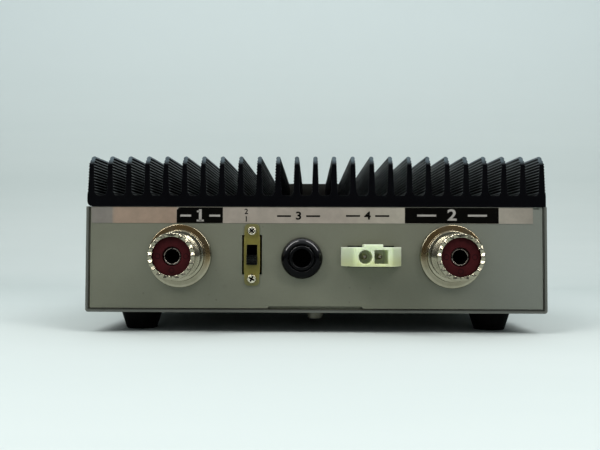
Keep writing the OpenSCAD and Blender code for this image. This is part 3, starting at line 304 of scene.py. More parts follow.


# near black. Lighter bluish greys are painted highlights on the fins' ridge crests and edges, sheen on the tips and
# end bevels where they are also rubbed, and a highlight band along the receding top edges. Painted shade darkens the
# flanks between the ridges
def makeAnodised(name):
    v = anodisedValues
    material = makeFinish(name, v["body"], v["deep"], rough=(0.34, 0.46), drift=50.0, grain=900.0,
                          stretch=(1, 0.06, 1), wear=v["ridgeSheen"], wearRadius=0.0002, wearAmount=0.15, dust=0.06,
                          direct={"Specular IOR Level": 0.03})
    tree = material.node_tree
    z = objectPlace(tree)["Z"]
    aside, ahead, up = facing(tree)
    turn = 2 * math.pi / (v["pitch"] * mm)
    wave = calculate(tree, "COSINE", calculate(tree, "MULTIPLY_ADD", z, turn, -turn * v["crest"] * mm))
    flank = multiply(tree, spread(tree, calculate(tree, "ABSOLUTE", aside), 0.4, 0.6),
                     between(tree, z, v["flanks"]))
    # painted shade: the fins' flanks darker than the rest
    paintOver(material, flank, v["groove"])
    # painted highlight: thin light lines along the ridge crests, where the upper facets catch the light
    paintOver(material, multiply(tree, flank, spread(tree, wave, 0.76, 0.94), 0.95), v["ridgeSheen"])
    uneven = useGroup(tree, grainGroup, {"Scale": 500.0, "Stretch": (1, 0.3, 1)})["Value"]
    # partly rubbed anodising and partly painted sheen: lighter where the tips and end bevels face up to the light
    rubbedAndSheen = multiply(tree, spread(tree, up, 0.3, 0.75), between(tree, z, v["tips"]),
                      spread(tree, uneven, 0.25, 0.6, 0.55, 1.0))
    paintOver(material, rubbedAndSheen, v["tip"])
    # painted highlight: a light band along the receding top edges of the fins
    rim = multiply(tree, spread(tree, calculate(tree, "ABSOLUTE", ahead), 0.5, 0.2),
                   between(tree, z, v["topEdge"]), spread(tree, up, 0.8, 0.5))
    paintOver(material, rim, v["rim"])
    return material


# how far across and how far up a point is from the middle of its own coax socket
def socketPlace(tree):
    middle = middleOf("input_socket_shell")
    place = objectPlace(tree)
    across = calculate(tree, "SUBTRACT", calculate(tree, "ABSOLUTE", place["X"]), middle.x)
    return across, calculate(tree, "SUBTRACT", place["Z"], middle.z)


nickelValues = {"light": seen(160, 155, 136), "dark": seen(141, 136, 116), "brownReflection": seen(146, 112, 60),
                "flange": (8.7, 9.6, 10.9, 11.1), "upper": (-6.5, 3.5), "lean": 0.02, "darkTone": seen(70, 60, 44),
                "ring": (8.9, 9.4, 10.1, 10.7), "ringLower": (2.0, -4.0), "ringAmount": 0.3,
                "thread": (7.95, 7.5), "threadFrom": (1.2, 2.0), "threadAmount": 0.6}


# bright nickel: a painted brown reflection on the flange's upper half, a faint ring of painted shade on its lower
# half near the shoulder, and darker in the thread
def makeNickel(name):
    v = nickelValues
    material = makeFinish(name, v["light"], v["dark"], rough=(0.1, 0.18), drift=150.0, grain=1800.0, bump=0.02,
                          metallic=1.0)
    tree = material.node_tree
    place = objectPlace(tree)
    across, rise = socketPlace(tree)
    radius = distance(tree, across, rise)
    height = calculate(tree, "SUBTRACT", rise, multiply(tree, place["X"], v["lean"]))
    cloud = useGroup(tree, mottleGroup, {"Scale": 160.0, "Contrast": 0.3})["Value"]
    # painted reflection: the flange's upper half turns brown as if mirroring warm surroundings
    paintedWarmLight = multiply(tree, band(tree, radius, v["flange"]), between(tree, height, v["upper"]),
                    spread(tree, cloud, 0.0, 1.0, 0.55, 0.95))
    paintOver(material, paintedWarmLight, v["brownReflection"])
    # painted shade: a faint darker ring on the flange's lower half
    lower = between(tree, rise, v["ringLower"], 0.0, v["ringAmount"])
    paintOver(material, multiply(tree, band(tree, radius, v["ring"]), lower), v["darkTone"])
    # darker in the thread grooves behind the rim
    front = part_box("input_socket_shell")[0].y / mm
    behindRim = between(tree, place["Y"], [front + depth for depth in v["threadFrom"]])
    thread = multiply(tree, between(tree, radius, v["thread"]), behindRim, v["threadAmount"])
    paintOver(material, thread, v["darkTone"])
    return material


resinValues = {"light": seen(54, 16, 18), "dark": seen(40, 11, 13), "dimpleShade": seen(14, 3, 5), "markRing": 4.75,
               "markTurns": (180, 270, 0), "markRadius": 0.85, "markLine": (0.16, 0.04), "markAmount": 0.9}


# dark maroon; the mould's three shallow dimples are drawn as thin dark rings of painted shade at their edges
def makeResin(name):
    v = resinValues
    material = makeFinish(name, v["light"], v["dark"], rough=(0.5, 0.6), drift=130.0, contrast=0.22, grain=2600.0,
                          bump=0.12, direct={"Specular IOR Level": 0.05})
    tree = material.node_tree
    across, rise = socketPlace(tree)
    marks = 0.0
    for turn in [math.radians(degrees) for degrees in v["markTurns"]]:
        away = distance(tree, calculate(tree, "SUBTRACT", across, v["markRing"] * mm * math.cos(turn)),
                        calculate(tree, "SUBTRACT", rise, v["markRing"] * mm * math.sin(turn)))
        line = calculate(tree, "ABSOLUTE", calculate(tree, "SUBTRACT", away, v["markRadius"] * mm))
        marks = calculate(tree, "MAXIMUM", marks, between(tree, line, v["markLine"]))
    # painted shade: dark rings where the dimples' edges would be shaded
    paintOver(material, multiply(tree, marks, v["markAmount"]), v["dimpleShade"])
    return material


labelValues = {"light": seen(255, 255, 255), "dark": seen(238, 238, 238), "grey": seen(107, 102, 95),
               "pink": seen(134, 115, 98), "warm": seen(138, 129, 118), "pale": seen(147, 141, 128),
               "end": seen(126, 119, 108), "reach": 82.0, "greyTo": -72.56, "pinkTo": -49.65, "edge": 0.328,
               "warmTo": 10.0, "paleFrom": 29.68, "paleTo": 57.4, "endFrom": 77.08}


# pale strip whose tone changes along the panel
def makeLabelStrip(name):
    v = labelValues
    material = makeFinish(name, v["light"], v["dark"], rough=(0.55, 0.65), drift=260.0, contrast=0.2,
                          grain=1800.0, bump=0.03)
    tree = material.node_tree
    along = between(tree, objectPlace(tree)["X"], (-v["reach"], v["reach"]), smooth=False)
    stops = [(-v["reach"], "grey"), (v["greyTo"] - v["edge"], "grey"), (v["greyTo"] + v["edge"], "pink"),
             (v["pinkTo"] - v["edge"], "pink"), (v["pinkTo"] + v["edge"], "warm"), (v["warmTo"], "warm"),
             (v["paleFrom"], "pale"), (v["paleTo"], "pale"), (v["endFrom"], "end")]
    zones = colourRamp(tree, along, [((x / v["reach"] + 1) / 2, v[tone]) for x, tone in stops])
    paintOver(material, 1.0, zones, "MULTIPLY")
    return material


nylonValues = {"light": seen(202, 213, 186), "dark": seen(195, 206, 174), "paintedWarmLight": seen(188, 194, 150),
               "warmLightFrom": 2.0, "warmLightTo": -3.0, "glow": seen(56, 60, 48)}


# waxy moulding, with painted light: yellower towards its underside, standing in for warm light thrown up from the
# panel below
def makeNylon(name, glow=None):
    v = nylonValues
    material = makeFinish(name, v["light"], v["dark"], rough=(0.32, 0.42), drift=90.0, grain=1400.0, bump=0.03,
                          direct={"Subsurface Weight": 0.9, "Subsurface Radius": (0.0042, 0.0045, 0.0036),
                                  "Subsurface Scale": 1.0, **(glow or {})})
    tree = material.node_tree
    middle = middleOf("power_inlet_housing").z / mm
    # painted light: the lower part tinted warmer, as if lit from the panel below
    paintedWarmLight = between(tree, objectPlace(tree)["Z"], (middle + v["warmLightFrom"], middle + v["warmLightTo"]))
    paintOver(material, paintedWarmLight, v["paintedWarmLight"])
    return material


jackShine = {"from": -0.5, "full": 1.5, "lower": 0.12}


# the jack is still glossy on its upper half where it faces up, and dull with dust below
def shineJack(material):
    tree = material.node_tree
    middle = middleOf("remote_jack_nut").z / mm
    upper = between(tree, objectPlace(tree)["Z"], (middle + jackShine["from"], middle + jackShine["full"]),
                    jackShine["lower"], 1.0)
    glossy = multiply(tree, spread(tree, facing(tree)["Z"], -0.05, 0.25), upper)
    feed(tree, tree.nodes["Principled BSDF"], {"Coat Weight": glossy})


switchValues = {"dull": seen(100, 101, 72), "dullFrom": (6.5, 10.5), "dullness": 0.6, "earRounding": 1.5,
                "thinnest": 0.3, "upperTurn": 42.0, "lowerTurn": 28.0, "recess": 1.1, "headFace": 0.08}


# the switch plate's two ears are duller than its middle
def dullEars(material):
    tree = material.node_tree
    rise = calculate(tree, "SUBTRACT", objectPlace(tree)["Z"], middleOf("level_switch_frame").z)
    ears = between(tree, calculate(tree, "ABSOLUTE", rise), switchValues["dullFrom"], 0.0, switchValues["dullness"])
    paintOver(material, ears, switchValues["dull"])


# what needs no more than the shared finish: light and dark tone, then the other values
plainFinishes = {
    "bezel_black": dict(light=seen(33, 33, 30), dark=seen(26, 26, 23), rough=(0.5, 0.62), grain=1600.0, bump=0.35,
                        wear=seen(60, 60, 60), wearAmount=0.3, direct={"Specular IOR Level": 0.1}),
    "facia_black": dict(light=seen(27, 28, 30), dark=seen(21, 22, 24), rough=(0.38, 0.46), grain=3000.0, bump=0.08,
                        wear=seen(110, 110, 108), wearAmount=0.4, direct={"Specular IOR Level": 0.2}),
    "zinc_steel": dict(light=seen(186, 186, 180), dark=seen(150, 150, 143), rough=(0.28, 0.4), drift=300.0,
                       metallic=1.0, bump=0.04),
    "foot_rubber": dict(light=seen(11, 11, 11), dark=seen(7, 7, 7), rough=(0.7, 0.85), drift=200.0, grain=1800.0,
                        bump=0.3, dust=0.2, direct={"Specular IOR Level": 0.06}),
    "contact_silver": dict(light=seen(172, 162, 152), dark=seen(118, 108, 98), rough=(0.22, 0.34), drift=700.0,
                           metallic=1.0, bump=0.02),
    "passivated_steel": dict(light=seen(118, 110, 46), dark=seen(98, 90, 36), rough=(0.34, 0.46), drift=160.0,
                             contrast=0.3, metallic=0.4, bump=0.03, wear=seen(170, 166, 120), wearAmount=0.5),
    # painted highlight: the light edge colour stands for the edges, such as the knob's top edge, catching the light
    "switch_black": dict(light=seen(2, 2, 2), dark=seen(1, 1, 1), drift=300.0, bump=0.1, wear=seen(90, 94, 88),
                         wearRadius=0.00018, direct={"Specular IOR Level": 0.02}),
    "jack_black": dict(light=seen(5, 5, 6), dark=seen(3, 3, 4), rough=(0.1, 0.14), drift=120.0, bump=0.01,
                       direct={"Specular IOR Level": 0.08, "Coat Roughness": 0.07}),
    "knob_black": dict(light=seen(27, 27, 28), dark=seen(19, 19, 20), rough=(0.45, 0.55), grain=1700.0, bump=0.2,
                       wear=seen(80, 80, 80), wearAmount=0.3),
    "pointer_white": dict(light=seen(226, 226, 220), dark=seen(210, 210, 200)),
    "switch_cream": dict(light=seen(222, 218, 204), dark=seen(208, 202, 184)),
    "lamp_red": dict(light=seen(176, 34, 26), dark=seen(150, 22, 18), rough=(0.1, 0.16), bump=0.01,
                     direct={"Coat Weight": 0.5, "Coat Roughness": 0.05}),
    "board_green": dict(light=seen(44, 116, 66), dark=seen(30, 92, 50), rough=(0.3, 0.4), drift=120.0),
    "spacer_brass": dict(light=seen(206, 196, 160), dark=seen(180, 168, 130), rough=(0.25, 0.35), metallic=1.0),
    "transistor_ceramic": dict(light=seen(226, 222, 210), dark=seen(206, 200, 186), rough=(0.4, 0.55)),
    "relay_case": dict(light=seen(52, 52, 58), dark=seen(40, 40, 46), rough=(0.35, 0.45)),
    "toroid_core": dict(light=seen(160, 92, 44), dark=seen(128, 66, 30), rough=(0.35, 0.5), drift=500.0),
    "capacitor_sleeve": dict(light=seen(38, 44, 70), dark=seen(26, 30, 52), rough=(0.2, 0.3)),
    "can_tin": dict(light=seen(206, 206, 202), dark=seen(182, 182, 178), rough=(0.3, 0.42), metallic=1.0),
    "coax_jacket": dict(light=seen(32, 32, 33), dark=seen(24, 24, 25), rough=(0.45, 0.55)),
    "lead_red": dict(light=seen(176, 30, 28), dark=seen(150, 22, 22)),
    "lead_yellow": dict(light=seen(206, 184, 60), dark=seen(186, 164, 46)),
    "ribbon_grey": dict(light=seen(170, 170, 174), dark=seen(150, 150, 154), rough=(0.45, 0.55)),
}

finishes["plated_sheet"] = makePlatedSheet("platedSheet", plateValues["light"], plateValues["dark"])
coolRightSide(finishes["plated_sheet"])
cutEdge = makePlatedSheet("cutEdge", plateValues["edge"], plateValues["edgeDark"])
# painted shade along the cut edge's inner border
paintGapShade(cutEdge)
# darker sheet for the cover's underside: partly dirt, partly painted shade under the box
undersideDirtAndShade = makePlatedSheet("undersideDirtAndShade", plateValues["under"], plateValues["underDark"])
finishes["anodised_black"] = makeAnodised("anodisedBlack")
finishes["nickel_plate"] = makeNickel("agedNickel")
finishes["maroon_resin"] = makeResin("maroonResin")
finishes["label_strip"] = makeLabelStrip("labelStrip")
finishes["ivory_nylon"] = makeNylon("ivoryNylon")
# the faint glow stands for the light that the thin walls let through
nylonCavity = makeNylon("nylonCavity", {"Emission Color": nylonValues["glow"], "Emission Strength": 1.0})
for slotName, values in plainFinishes.items():
    finishes[slotName] = makeFinish(slotName.replace("_", "-"), **values)
shineJack(finishes["jack_black"])
dullEars(finishes["passivated_steel"])
# painted shade: near black for recesses, bores and gaps that lie in shadow
paintedShade = makeFinish("paintedShade", seen(3, 3, 3), seen(2, 2, 2), rough=(0.9, 0.95),
                      direct={"Specular IOR Level": 0.02})
# painted shade: a darker, duller copy of the zinc finish for the screw that sits in shade under the cover's edge
shadedZinc = makeFinish("shadedZinc", seen(96, 95, 86), seen(66, 65, 56), rough=(0.35, 0.5), drift=400.0, metallic=1.0)
brightScrew = makeFinish("brightScrew", seen(232, 226, 205), seen(214, 206, 182), rough=(0.18, 0.28), drift=500.0,
                         metallic=1.0)
printBlack = makeFinish("printBlack", seen(7, 6, 4), seen(4, 4, 3), rough=(0.55, 0.65), drift=400.0,
                        direct={"Specular IOR Level": 0.02})
printPale = makeFinish("printPale", seen(150, 146, 140), seen(134, 130, 124), rough=(0.5, 0.6), drift=400.0)
printWhite = makeFinish("printWhite", seen(222, 222, 216), seen(206, 206, 200), rough=(0.5, 0.6), drift=400.0)

for node in nodes.values():
    for materialSlot in node.material_slots:
        materialSlot.material = finishes[materialSlot.material.name.split(".")[0]]


# making pieces

def addObject(name, data):
    made = bpy.data.objects.new(name, data)
    bpy.context.scene.collection.objects.link(made)
    return made


def meshOf(name, shape):
    mesh = bpy.data.meshes.new(name)
    shape.to_mesh(mesh)
    shape.free()
    mesh.shade_smooth()
    return mesh


def addPiece(name, shape, finishName, body="case", replaced=(), sharp=35.0, finish=None):
    mesh = meshOf(name, shape)
    mesh.set_sharp_from_angle(angle=math.radians(sharp))
    mesh.materials.append(finish or finishes[finishName])
    piece = addObject(name, mesh)
    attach(piece, body)
    if replaced:
        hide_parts(*replaced)
    return piece


# gives the faces that the test picks a second finish
def paintFaces(piece, finish, wanted):
    piece.data.materials.append(finish)
    for face in piece.data.polygons:
        if wanted(face.center):
            face.material_index = len(piece.data.materials) - 1


def roundEdges(piece, width, segments=2):
    bevel = piece.modifiers.new("roundedEdges", "BEVEL")
    bevel.width = width * mm
    bevel.segments = segments
    bevel.limit_method = "ANGLE"
    bevel.angle_limit = math.radians(32.0)
    bevel.harden_normals = True


def bevelParts(shape, parts, width, segments, affect="EDGES"):
    bmesh.ops.bevel(shape, geom=parts, offset=width * mm, offset_type="OFFSET", segments=segments, profile=0.5,
                    affect=affect, material=-1)


def turnShape(shape, angle, axis, centre=(0, 0, 0), verts=None):
    bmesh.ops.rotate(shape, verts=shape.verts if verts is None else verts, cent=centre,
                     matrix=Matrix.Rotation(angle, 3, axis))


def moveShape(shape, by):
    bmesh.ops.translate(shape, verts=shape.verts, vec=by)


# a chain of (radius, y, rounding) in mm turned round the Y axis and put at a place
def spinShape(profile, place, closed=True, steps=96, angle=360.0, startAngle=0.0):
    shape = bmesh.new()
    verts = [shape.verts.new((r * mm, y * mm, 0)) for r, y, soft in profile]
    for first, second in zip(verts, verts[1:] + (verts[:1] if closed else [])):
        shape.edges.new((first, second))
    for soft in sorted({point[2] for point in profile} - {0}):
        corners = [v for v, point in zip(verts, profile) if point[2] == soft]
        bevelParts(shape, corners, soft, 4, "VERTICES")
    whole = angle == 360.0
    turnShape(shape, math.radians(startAngle), "Y")
    bmesh.ops.spin(shape, geom=shape.verts[:] + shape.edges[:], cent=(0, 0, 0), axis=(0, 1, 0),
                   angle=math.radians(angle), steps=steps, use_merge=whole)
    bmesh.ops.remove_doubles(shape, verts=shape.verts, dist=1e-7)
    if not whole:
        bmesh.ops.holes_fill(shape, edges=[e for e in shape.edges if e.is_boundary], sides=0)
    bmesh.ops.recalc_face_normals(shape, faces=shape.faces)
    moveShape(shape, place)
    return shape


def joinShapes(first, *others):
    for other in others:
        spare = bpy.data.meshes.new("spare")
        other.to_mesh(spare)
        other.free()
        first.from_mesh(spare)
        bpy.data.meshes.remove(spare)
    return first


# a box from its two corners, in metres
def boxShape(low, high):
    shape = bmesh.new()
    bmesh.ops.create_cube(shape, size=1.0)
    bmesh.ops.scale(shape, verts=shape.verts, vec=[b - a for a, b in zip(low, high)])
    moveShape(shape, [(a + b) / 2 for a, b in zip(low, high)])
    return shape


# the CAD node's own shape as one clean mesh
def cleanCopy(node):
    shape = bmesh.new()
    shape.from_mesh(nodes[node].data)
    bmesh.ops.remove_doubles(shape, verts=shape.verts, dist=1e-6)
    bmesh.ops.dissolve_limit(shape, angle_limit=math.radians(0.5), use_dissolve_boundaries=False,
                             verts=shape.verts, edges=shape.edges, delimit={"NORMAL"})
    return shape


# that shape with its edges rounded; some nodes are reshaped a little first
def refinedCopy(node, finishName, width, segments=2, body="case"):
    shape = cleanCopy(node)
    if node in reshapes:
        reshapes[node](shape)
    piece = addPiece(node + "_rounded", shape, finishName, body, (node,))
    roundEdges(piece, width, segments)
    return piece


# the ends of the switch plate's ears
def roundEars(shape):
    low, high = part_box("level_switch_frame")
    corners = [edge for edge in shape.edges
               if all(min(vert.co.z - low.z, high.z - vert.co.z) < mm / 100 for vert in edge.verts)
               and abs(edge.verts[0].co.y - edge.verts[1].co.y) > switchValues["thinnest"] * mm]
    bevelParts(shape, corners, switchValues["earRounding"], 6)


# nobody lines up the crosses of two screws
def turnScrews(shape):
    low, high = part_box("level_switch_screws")
    reach = (high.x - low.x) / 2
    middle = (low + high) / 2
    for side, turn, z in ((1, "upperTurn", high.z - reach), (-1, "lowerTurn", low.z + reach)):
        verts = [vert for vert in shape.verts if (vert.co.z - middle.z) * side > 0]
        turnShape(shape, math.radians(switchValues[turn]), "Y", (middle.x, 0, z), verts)


reshapes = {"level_switch_frame": roundEars, "level_switch_screws": turnScrews}

print("heatsink and case")

roundedNodes = {  # node: finish, rounding in mm, segments
    "heatsink": ("anodised_black", 0.07, 2),
    "bottom_cover": ("plated_sheet", 0.18, 3),
    "rear_panel": ("plated_sheet", 0.15, 2),
    "rear_label": ("label_strip", 0.04, 2),
    "front_panel": ("bezel_black", 0.35, 3),
    "facia_plate": ("facia_black", 0.1, 2),
    "cover_side_screws": ("zinc_steel", 0.25, 3),
    "cover_bottom_screws": ("zinc_steel", 0.3, 3),
    "foot_screws": ("zinc_steel", 0.3, 3),
    "level_switch_frame": ("passivated_steel", 0.1, 2),
    "level_switch_screws": ("nickel_plate", 0.12, 3),
}
rounded = {node: refinedCopy(node, *values) for node, values in roundedNodes.items()}
# the bottom screw gets the darker zinc as painted shade
rounded["cover_bottom_screws"].data.materials[0] = shadedZinc
rounded["level_switch_screws"].data.materials[0] = brightScrew
coverLow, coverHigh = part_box("bottom_cover")
paintFaces(rounded["bottom_cover"], cutEdge,
           lambda at: not coverLow.y + mm / 10 < at.y < coverHigh.y - mm / 10)
# the underside gets the darker sheet: dirt and painted shade
paintFaces(rounded["bottom_cover"], undersideDirtAndShade, lambda at: at.z < coverLow.z + mm / 100)


# the cross recesses of the switch's screws
def inRecess(centre):
    low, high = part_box("level_switch_screws")
    reach = (high.x - low.x) / 2
    across = centre.x - low.x - reach
    rise = min(abs(centre.z - low.z - reach), abs(centre.z - high.z + reach))
    return (centre.y > low.y + switchValues["headFace"] * mm and
            math.hypot(across, rise) < switchValues["recess"] * mm)


# painted shade: the screws' cross recesses are near black
paintFaces(rounded["level_switch_screws"], paintedShade, inRecess)

inletValues = {"nose": 6.5, "noseEdge": 3.0, "noseRounding": 1.0, "rounding": 0.16, "panel": 1.2, "gapFrom": 8.0,
               "cavity": 2.45, "cavityDepth": 14.2, "pitch": 2.7}


# the nose's two front edges run softly into the ears; the faces seen through the gap round the nose are painted near
# black as shade
def buildInlet():
    v = inletValues
    low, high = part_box("power_inlet_housing")
    middle = (low.x + high.x) / 2
    shape = cleanCopy("power_inlet_housing")
    corners = [edge for edge in shape.edges
               if all(vert.co.y < low.y + mm / 100 and abs(abs(vert.co.x - middle) - v["nose"] * mm) < mm / 100
                      for vert in edge.verts)
               and abs(edge.verts[0].co.z - edge.verts[1].co.z) > v["noseEdge"] * mm]
    bevelParts(shape, corners, v["noseRounding"], 6)
    housing = addPiece("inlet_housing", shape, "ivory_nylon", replaced=("power_inlet_housing",))
    roundEdges(housing, v["rounding"], 3)
    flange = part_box("rear_panel")[0].y + v["panel"] * mm
    paintFaces(housing, paintedShade, lambda at: abs(at.y - flange) < mm / 10 and at.y > low.y + v["gapFrom"] * mm)
    rise = middleOf("power_inlet_pins").z
    half = v["cavity"] * mm
    paintFaces(housing, nylonCavity, lambda at: low.y + mm / 50 < at.y < low.y + v["cavityDepth"] * mm and
               abs(at.z - rise) < half and abs(abs(at.x - middle) - v["pitch"] * mm) < half)


buildInlet()

movingNodes = {  # node: finish, rounding, segments, body
    "level_switch_knob": ("switch_black", 0.15, 3, "level_slider"),
    "band_knob": ("knob_black", 0.25, 3, "band_dial"),
    "band_knob_pointer": ("pointer_white", 0.08, 2, "band_dial"),
    "power_button": ("knob_black", 0.6, 4, "power_key"),
    "preamp_button": ("knob_black", 0.6, 4, "preamp_key"),
}
for node, values in movingNodes.items():
    refinedCopy(node, *values)


print("feet")

footValues = {"ground": 5.6, "top": 8.0, "height": 7.5, "well": 3.5, "wellDepth": 4.0, "hole": 1.65}


def buildFeet():
    low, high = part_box("feet")
    v = footValues
    reach = v["top"] * mm
    profile = [(v["well"], 0, 0.3), (v["ground"], 0, 0.35), (v["top"], v["height"], 0.3),
               (v["hole"], v["height"], 0), (v["hole"], v["wellDepth"], 0), (v["well"], v["wellDepth"], 0)]
    feet = []
    for x in (low.x + reach, high.x - reach):
        for y in (low.y + reach, high.y - reach):
            foot = spinShape(profile, (0, 0, 0), steps=64)
            turnShape(foot, math.pi / 2, "X")
            moveShape(foot, (x, y, 0))
            feet.append(foot)
    addPiece("rubber_feet", joinShapes(*feet), "foot_rubber", replaced=("feet",))


buildFeet()


print("round coax sockets")

# radii, and depths from the front, in mm
socketValues = {"barrel": 7.95, "bore": 6.55, "rim": (1.35, 1.4), "teeth": 18, "toothDepth": 0.55,
                "toothWidth": 0.95, "toothInset": 0.75, "root": 7.45, "pitch": 1.06, "threadStart": 1.7, "threads": 9,
                "threadForm": (0.3, 0.42, 0.72), "threadEnd": 11.35, "relief": 7.6, "reliefFrom": 11.7,
                "reliefTo": 12.5, "shoulder": 9.0, "flange": 11.25, "flangeFrom": 14.5, "flangeTo": 17.0,
                "tail": 7.6, "insulator": 6.5, "insulatorIn": 1.3, "mouth": 3.25, "mouthDepth": 2.0,
                "contact": 2.9, "contactLip": 2.55, "lipDepth": 1.3, "contactBore": 2.0, "contactIn": 2.2,
                "contactDepth": 11.0, "play": 0.05, "slit": 0.4, "slitDepth": 5.5, "pin": 1.7}


# pointed teeth, made by pushing the crown's rim back between them
def cutCrown(shape, front):
    teeth, depth, width = socketValues["teeth"], socketValues["toothDepth"] * mm, socketValues["toothWidth"] * mm
    pitch = 2 * math.pi / teeth
    for vert in shape.verts:
        if vert.co.y > front + depth:
            continue
        turn = (math.atan2(vert.co.z, vert.co.x) - math.pi / 2) % pitch
        away = min(turn, pitch - turn) * (socketValues["barrel"] - socketValues["toothInset"]) * mm
        notch = depth * max(0.0, 1 - away / width)
        vert.co.y += notch * (1 - (vert.co.y - front) / (depth * 1.05))


def buildSocket(side):
    names = [f"{side}_socket_{part}" for part in ("shell", "insulator", "contact")]
    low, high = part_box(names[0])
    middle = (low + high) / 2
    centre = (middle.x, 0, middle.z)
    front, back = low.y / mm, high.y / mm
    v = socketValues
    rimOutside, rimInside = v["rim"]
    profile = [(v["bore"], front, 0.2), (v["barrel"], front, 0.5), (v["barrel"], front + rimOutside, 0)]
    rootStart, rootEnd, crest = v["threadForm"]
    for turn in range(v["threads"]):
        start = front + v["threadStart"] + turn * v["pitch"]
        profile += [(v["barrel"], start, 0), (v["root"], start + rootStart, 0), (v["root"], start + rootEnd, 0),
                    (v["barrel"], start + crest, 0)]
    profile += [(v["barrel"], front + v["threadEnd"], 0), (v["barrel"], front + v["reliefFrom"], 0.1),
                (v["relief"], front + v["reliefFrom"], 0), (v["relief"], front + v["reliefTo"], 0),
                (v["shoulder"], front + v["reliefTo"], 0.35), (v["shoulder"], front + v["flangeFrom"], 0.2),
                (v["flange"], front + v["flangeFrom"], 0.4), (v["flange"], front + v["flangeTo"], 0.3),
                (v["tail"], front + v["flangeTo"], 0), (v["tail"], back, 0.2), (v["bore"], back, 0),
                (v["bore"], front + rimInside, 0)]
    shell = spinShape(profile, (0, 0, 0), steps=v["teeth"] * 8)
    cutCrown(shell, front * mm)
    moveShape(shell, centre)
    addPiece(side + "_shell", shell, "nickel_plate", replaced=names[:1], sharp=30)

    face, end = front + v["insulatorIn"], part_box(names[1])[1].y / mm
    hole = v["contact"] + v["play"]
    rim = spinShape([(v["mouth"], face, 0.12), (v["insulator"], face, 0.15), (v["insulator"], end, 0),
                     (hole, end, 0), (hole, face + v["mouthDepth"], 0),
                     (v["mouth"], face + v["mouthDepth"], 0)], centre)
    addPiece(side + "_insulator", rim, "maroon_resin", replaced=names[1:2])

    mouth, tip = front + v["contactIn"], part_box(names[2])[1].y / mm
    slitEnd, boreEnd = mouth + v["slitDepth"], mouth + v["contactDepth"]
    gap = math.degrees(v["slit"] / v["contact"])
    leaf = [(v["contactLip"], mouth, 0.1), (v["contact"], mouth + 0.05, 0.15), (v["contact"], slitEnd, 0),
            (v["contactBore"], slitEnd, 0), (v["contactBore"], mouth + v["lipDepth"], 0.3)]
    leaves = [spinShape(leaf, centre, steps=20, angle=90 - gap, startAngle=90 * k + gap / 2) for k in range(4)]
    root = spinShape([(v["contactBore"], slitEnd, 0), (v["contact"], slitEnd, 0), (v["contact"], end, 0.2),
                      (v["pin"], end, 0), (v["pin"], tip, 0.3), (0, tip, 0), (0, boreEnd, 0),
                      (v["contactBore"], boreEnd, 0)], centre, steps=64)
    contact = addPiece(side + "_contact", joinShapes(*leaves, root), "contact_silver", replaced=names[2:])
    # painted shade: the inside of the contact is near black
    paintFaces(contact, paintedShade, lambda at: at.y > (mouth + 0.5) * mm and
               math.hypot(at.x - middle.x, at.z - middle.z) < (v["contact"] - 0.08) * mm)


for side in ("antenna", "input"):
    buildSocket(side)


print("remote jack")

jackValues = {"nut": 7.4, "nutRounding": 2.4, "bush": 4.7, "bushRounding": 0.7, "bore": 3.2, "boreDepth": 24.0,
              "mouth": 0.35, "play": 0.1, "panel": 1.2, "wall": 2.5, "backIn": 0.2, "frontInset": 1.0}


def buildJack():
    low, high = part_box("remote_jack_nut")
    middle = (low + high) / 2
    centre = (middle.x, 0, middle.z)
    v = jackValues
    front, panel = low.y / mm, high.y / mm
    hole = v["bush"] + v["play"]
    nut = spinShape([(hole, front, 0.25), (v["nut"], front, v["nutRounding"]), (v["nut"], panel, 0.15),
                     (hole, panel, 0)], centre)
    addPiece("jack_nut", nut, "jack_black", replaced=("remote_jack_nut",))
    low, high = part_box("remote_jack_body")
    front, back, caseFront = low.y / mm, high.y / mm - v["backIn"], panel + v["panel"]
    outside = v["bore"] + v["wall"]
    tube = spinShape([(v["bore"] + v["mouth"], front, 0.12), (v["bush"], front, v["bushRounding"]),
                      (v["bush"], caseFront, 0), (outside, caseFront, 0), (outside, back, 0), (0, back, 0),
                      (0, front + v["boreDepth"], 0), (v["bore"], front + v["boreDepth"], 0),
                      (v["bore"], front + v["mouth"], 0.15)], centre)
    case = boxShape((low.x, caseFront * mm, low.z), (high.x, high.y, high.z))
    for face in [f for f in case.faces if f.normal.y < -0.9]:
        bmesh.ops.inset_region(case, faces=[face], thickness=v["frontInset"] * mm)
    jack = addPiece("jack_body", joinShapes(tube, case), "jack_black", replaced=("remote_jack_body",))
    # painted shade: the jack's bore is near black
    paintFaces(jack, paintedShade, lambda at: at.y > (front + v["mouth"] + 0.2) * mm and
               math.hypot(at.x - middle.x, at.z - middle.z) < (v["bore"] + 0.15) * mm)


buildJack()


print("lamps")

indicatorValues = {"radius": 1.5, "dome": 1.2}


def buildLamps():
    low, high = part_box("indicator_lamps")
    middle = (low + high) / 2
    radius = indicatorValues["radius"]
    profile = [(0, high.y / mm, 0), (radius, high.y / mm, indicatorValues["dome"]), (radius, low.y / mm, 0),
               (0, low.y / mm, 0)]
    lamps = [spinShape(profile, (x, 0, middle.z), closed=False, steps=48)
             for x in (low.x + radius * mm, middle.x, high.x - radius * mm)]
    addPiece("lamps", joinShapes(*lamps), "lamp_red", replaced=("indicator_lamps",))


buildLamps()


print("print")

inkValues = {"depth": 0.02, "fontSize": 1.39}  # depth in mm, font size for a figure's height


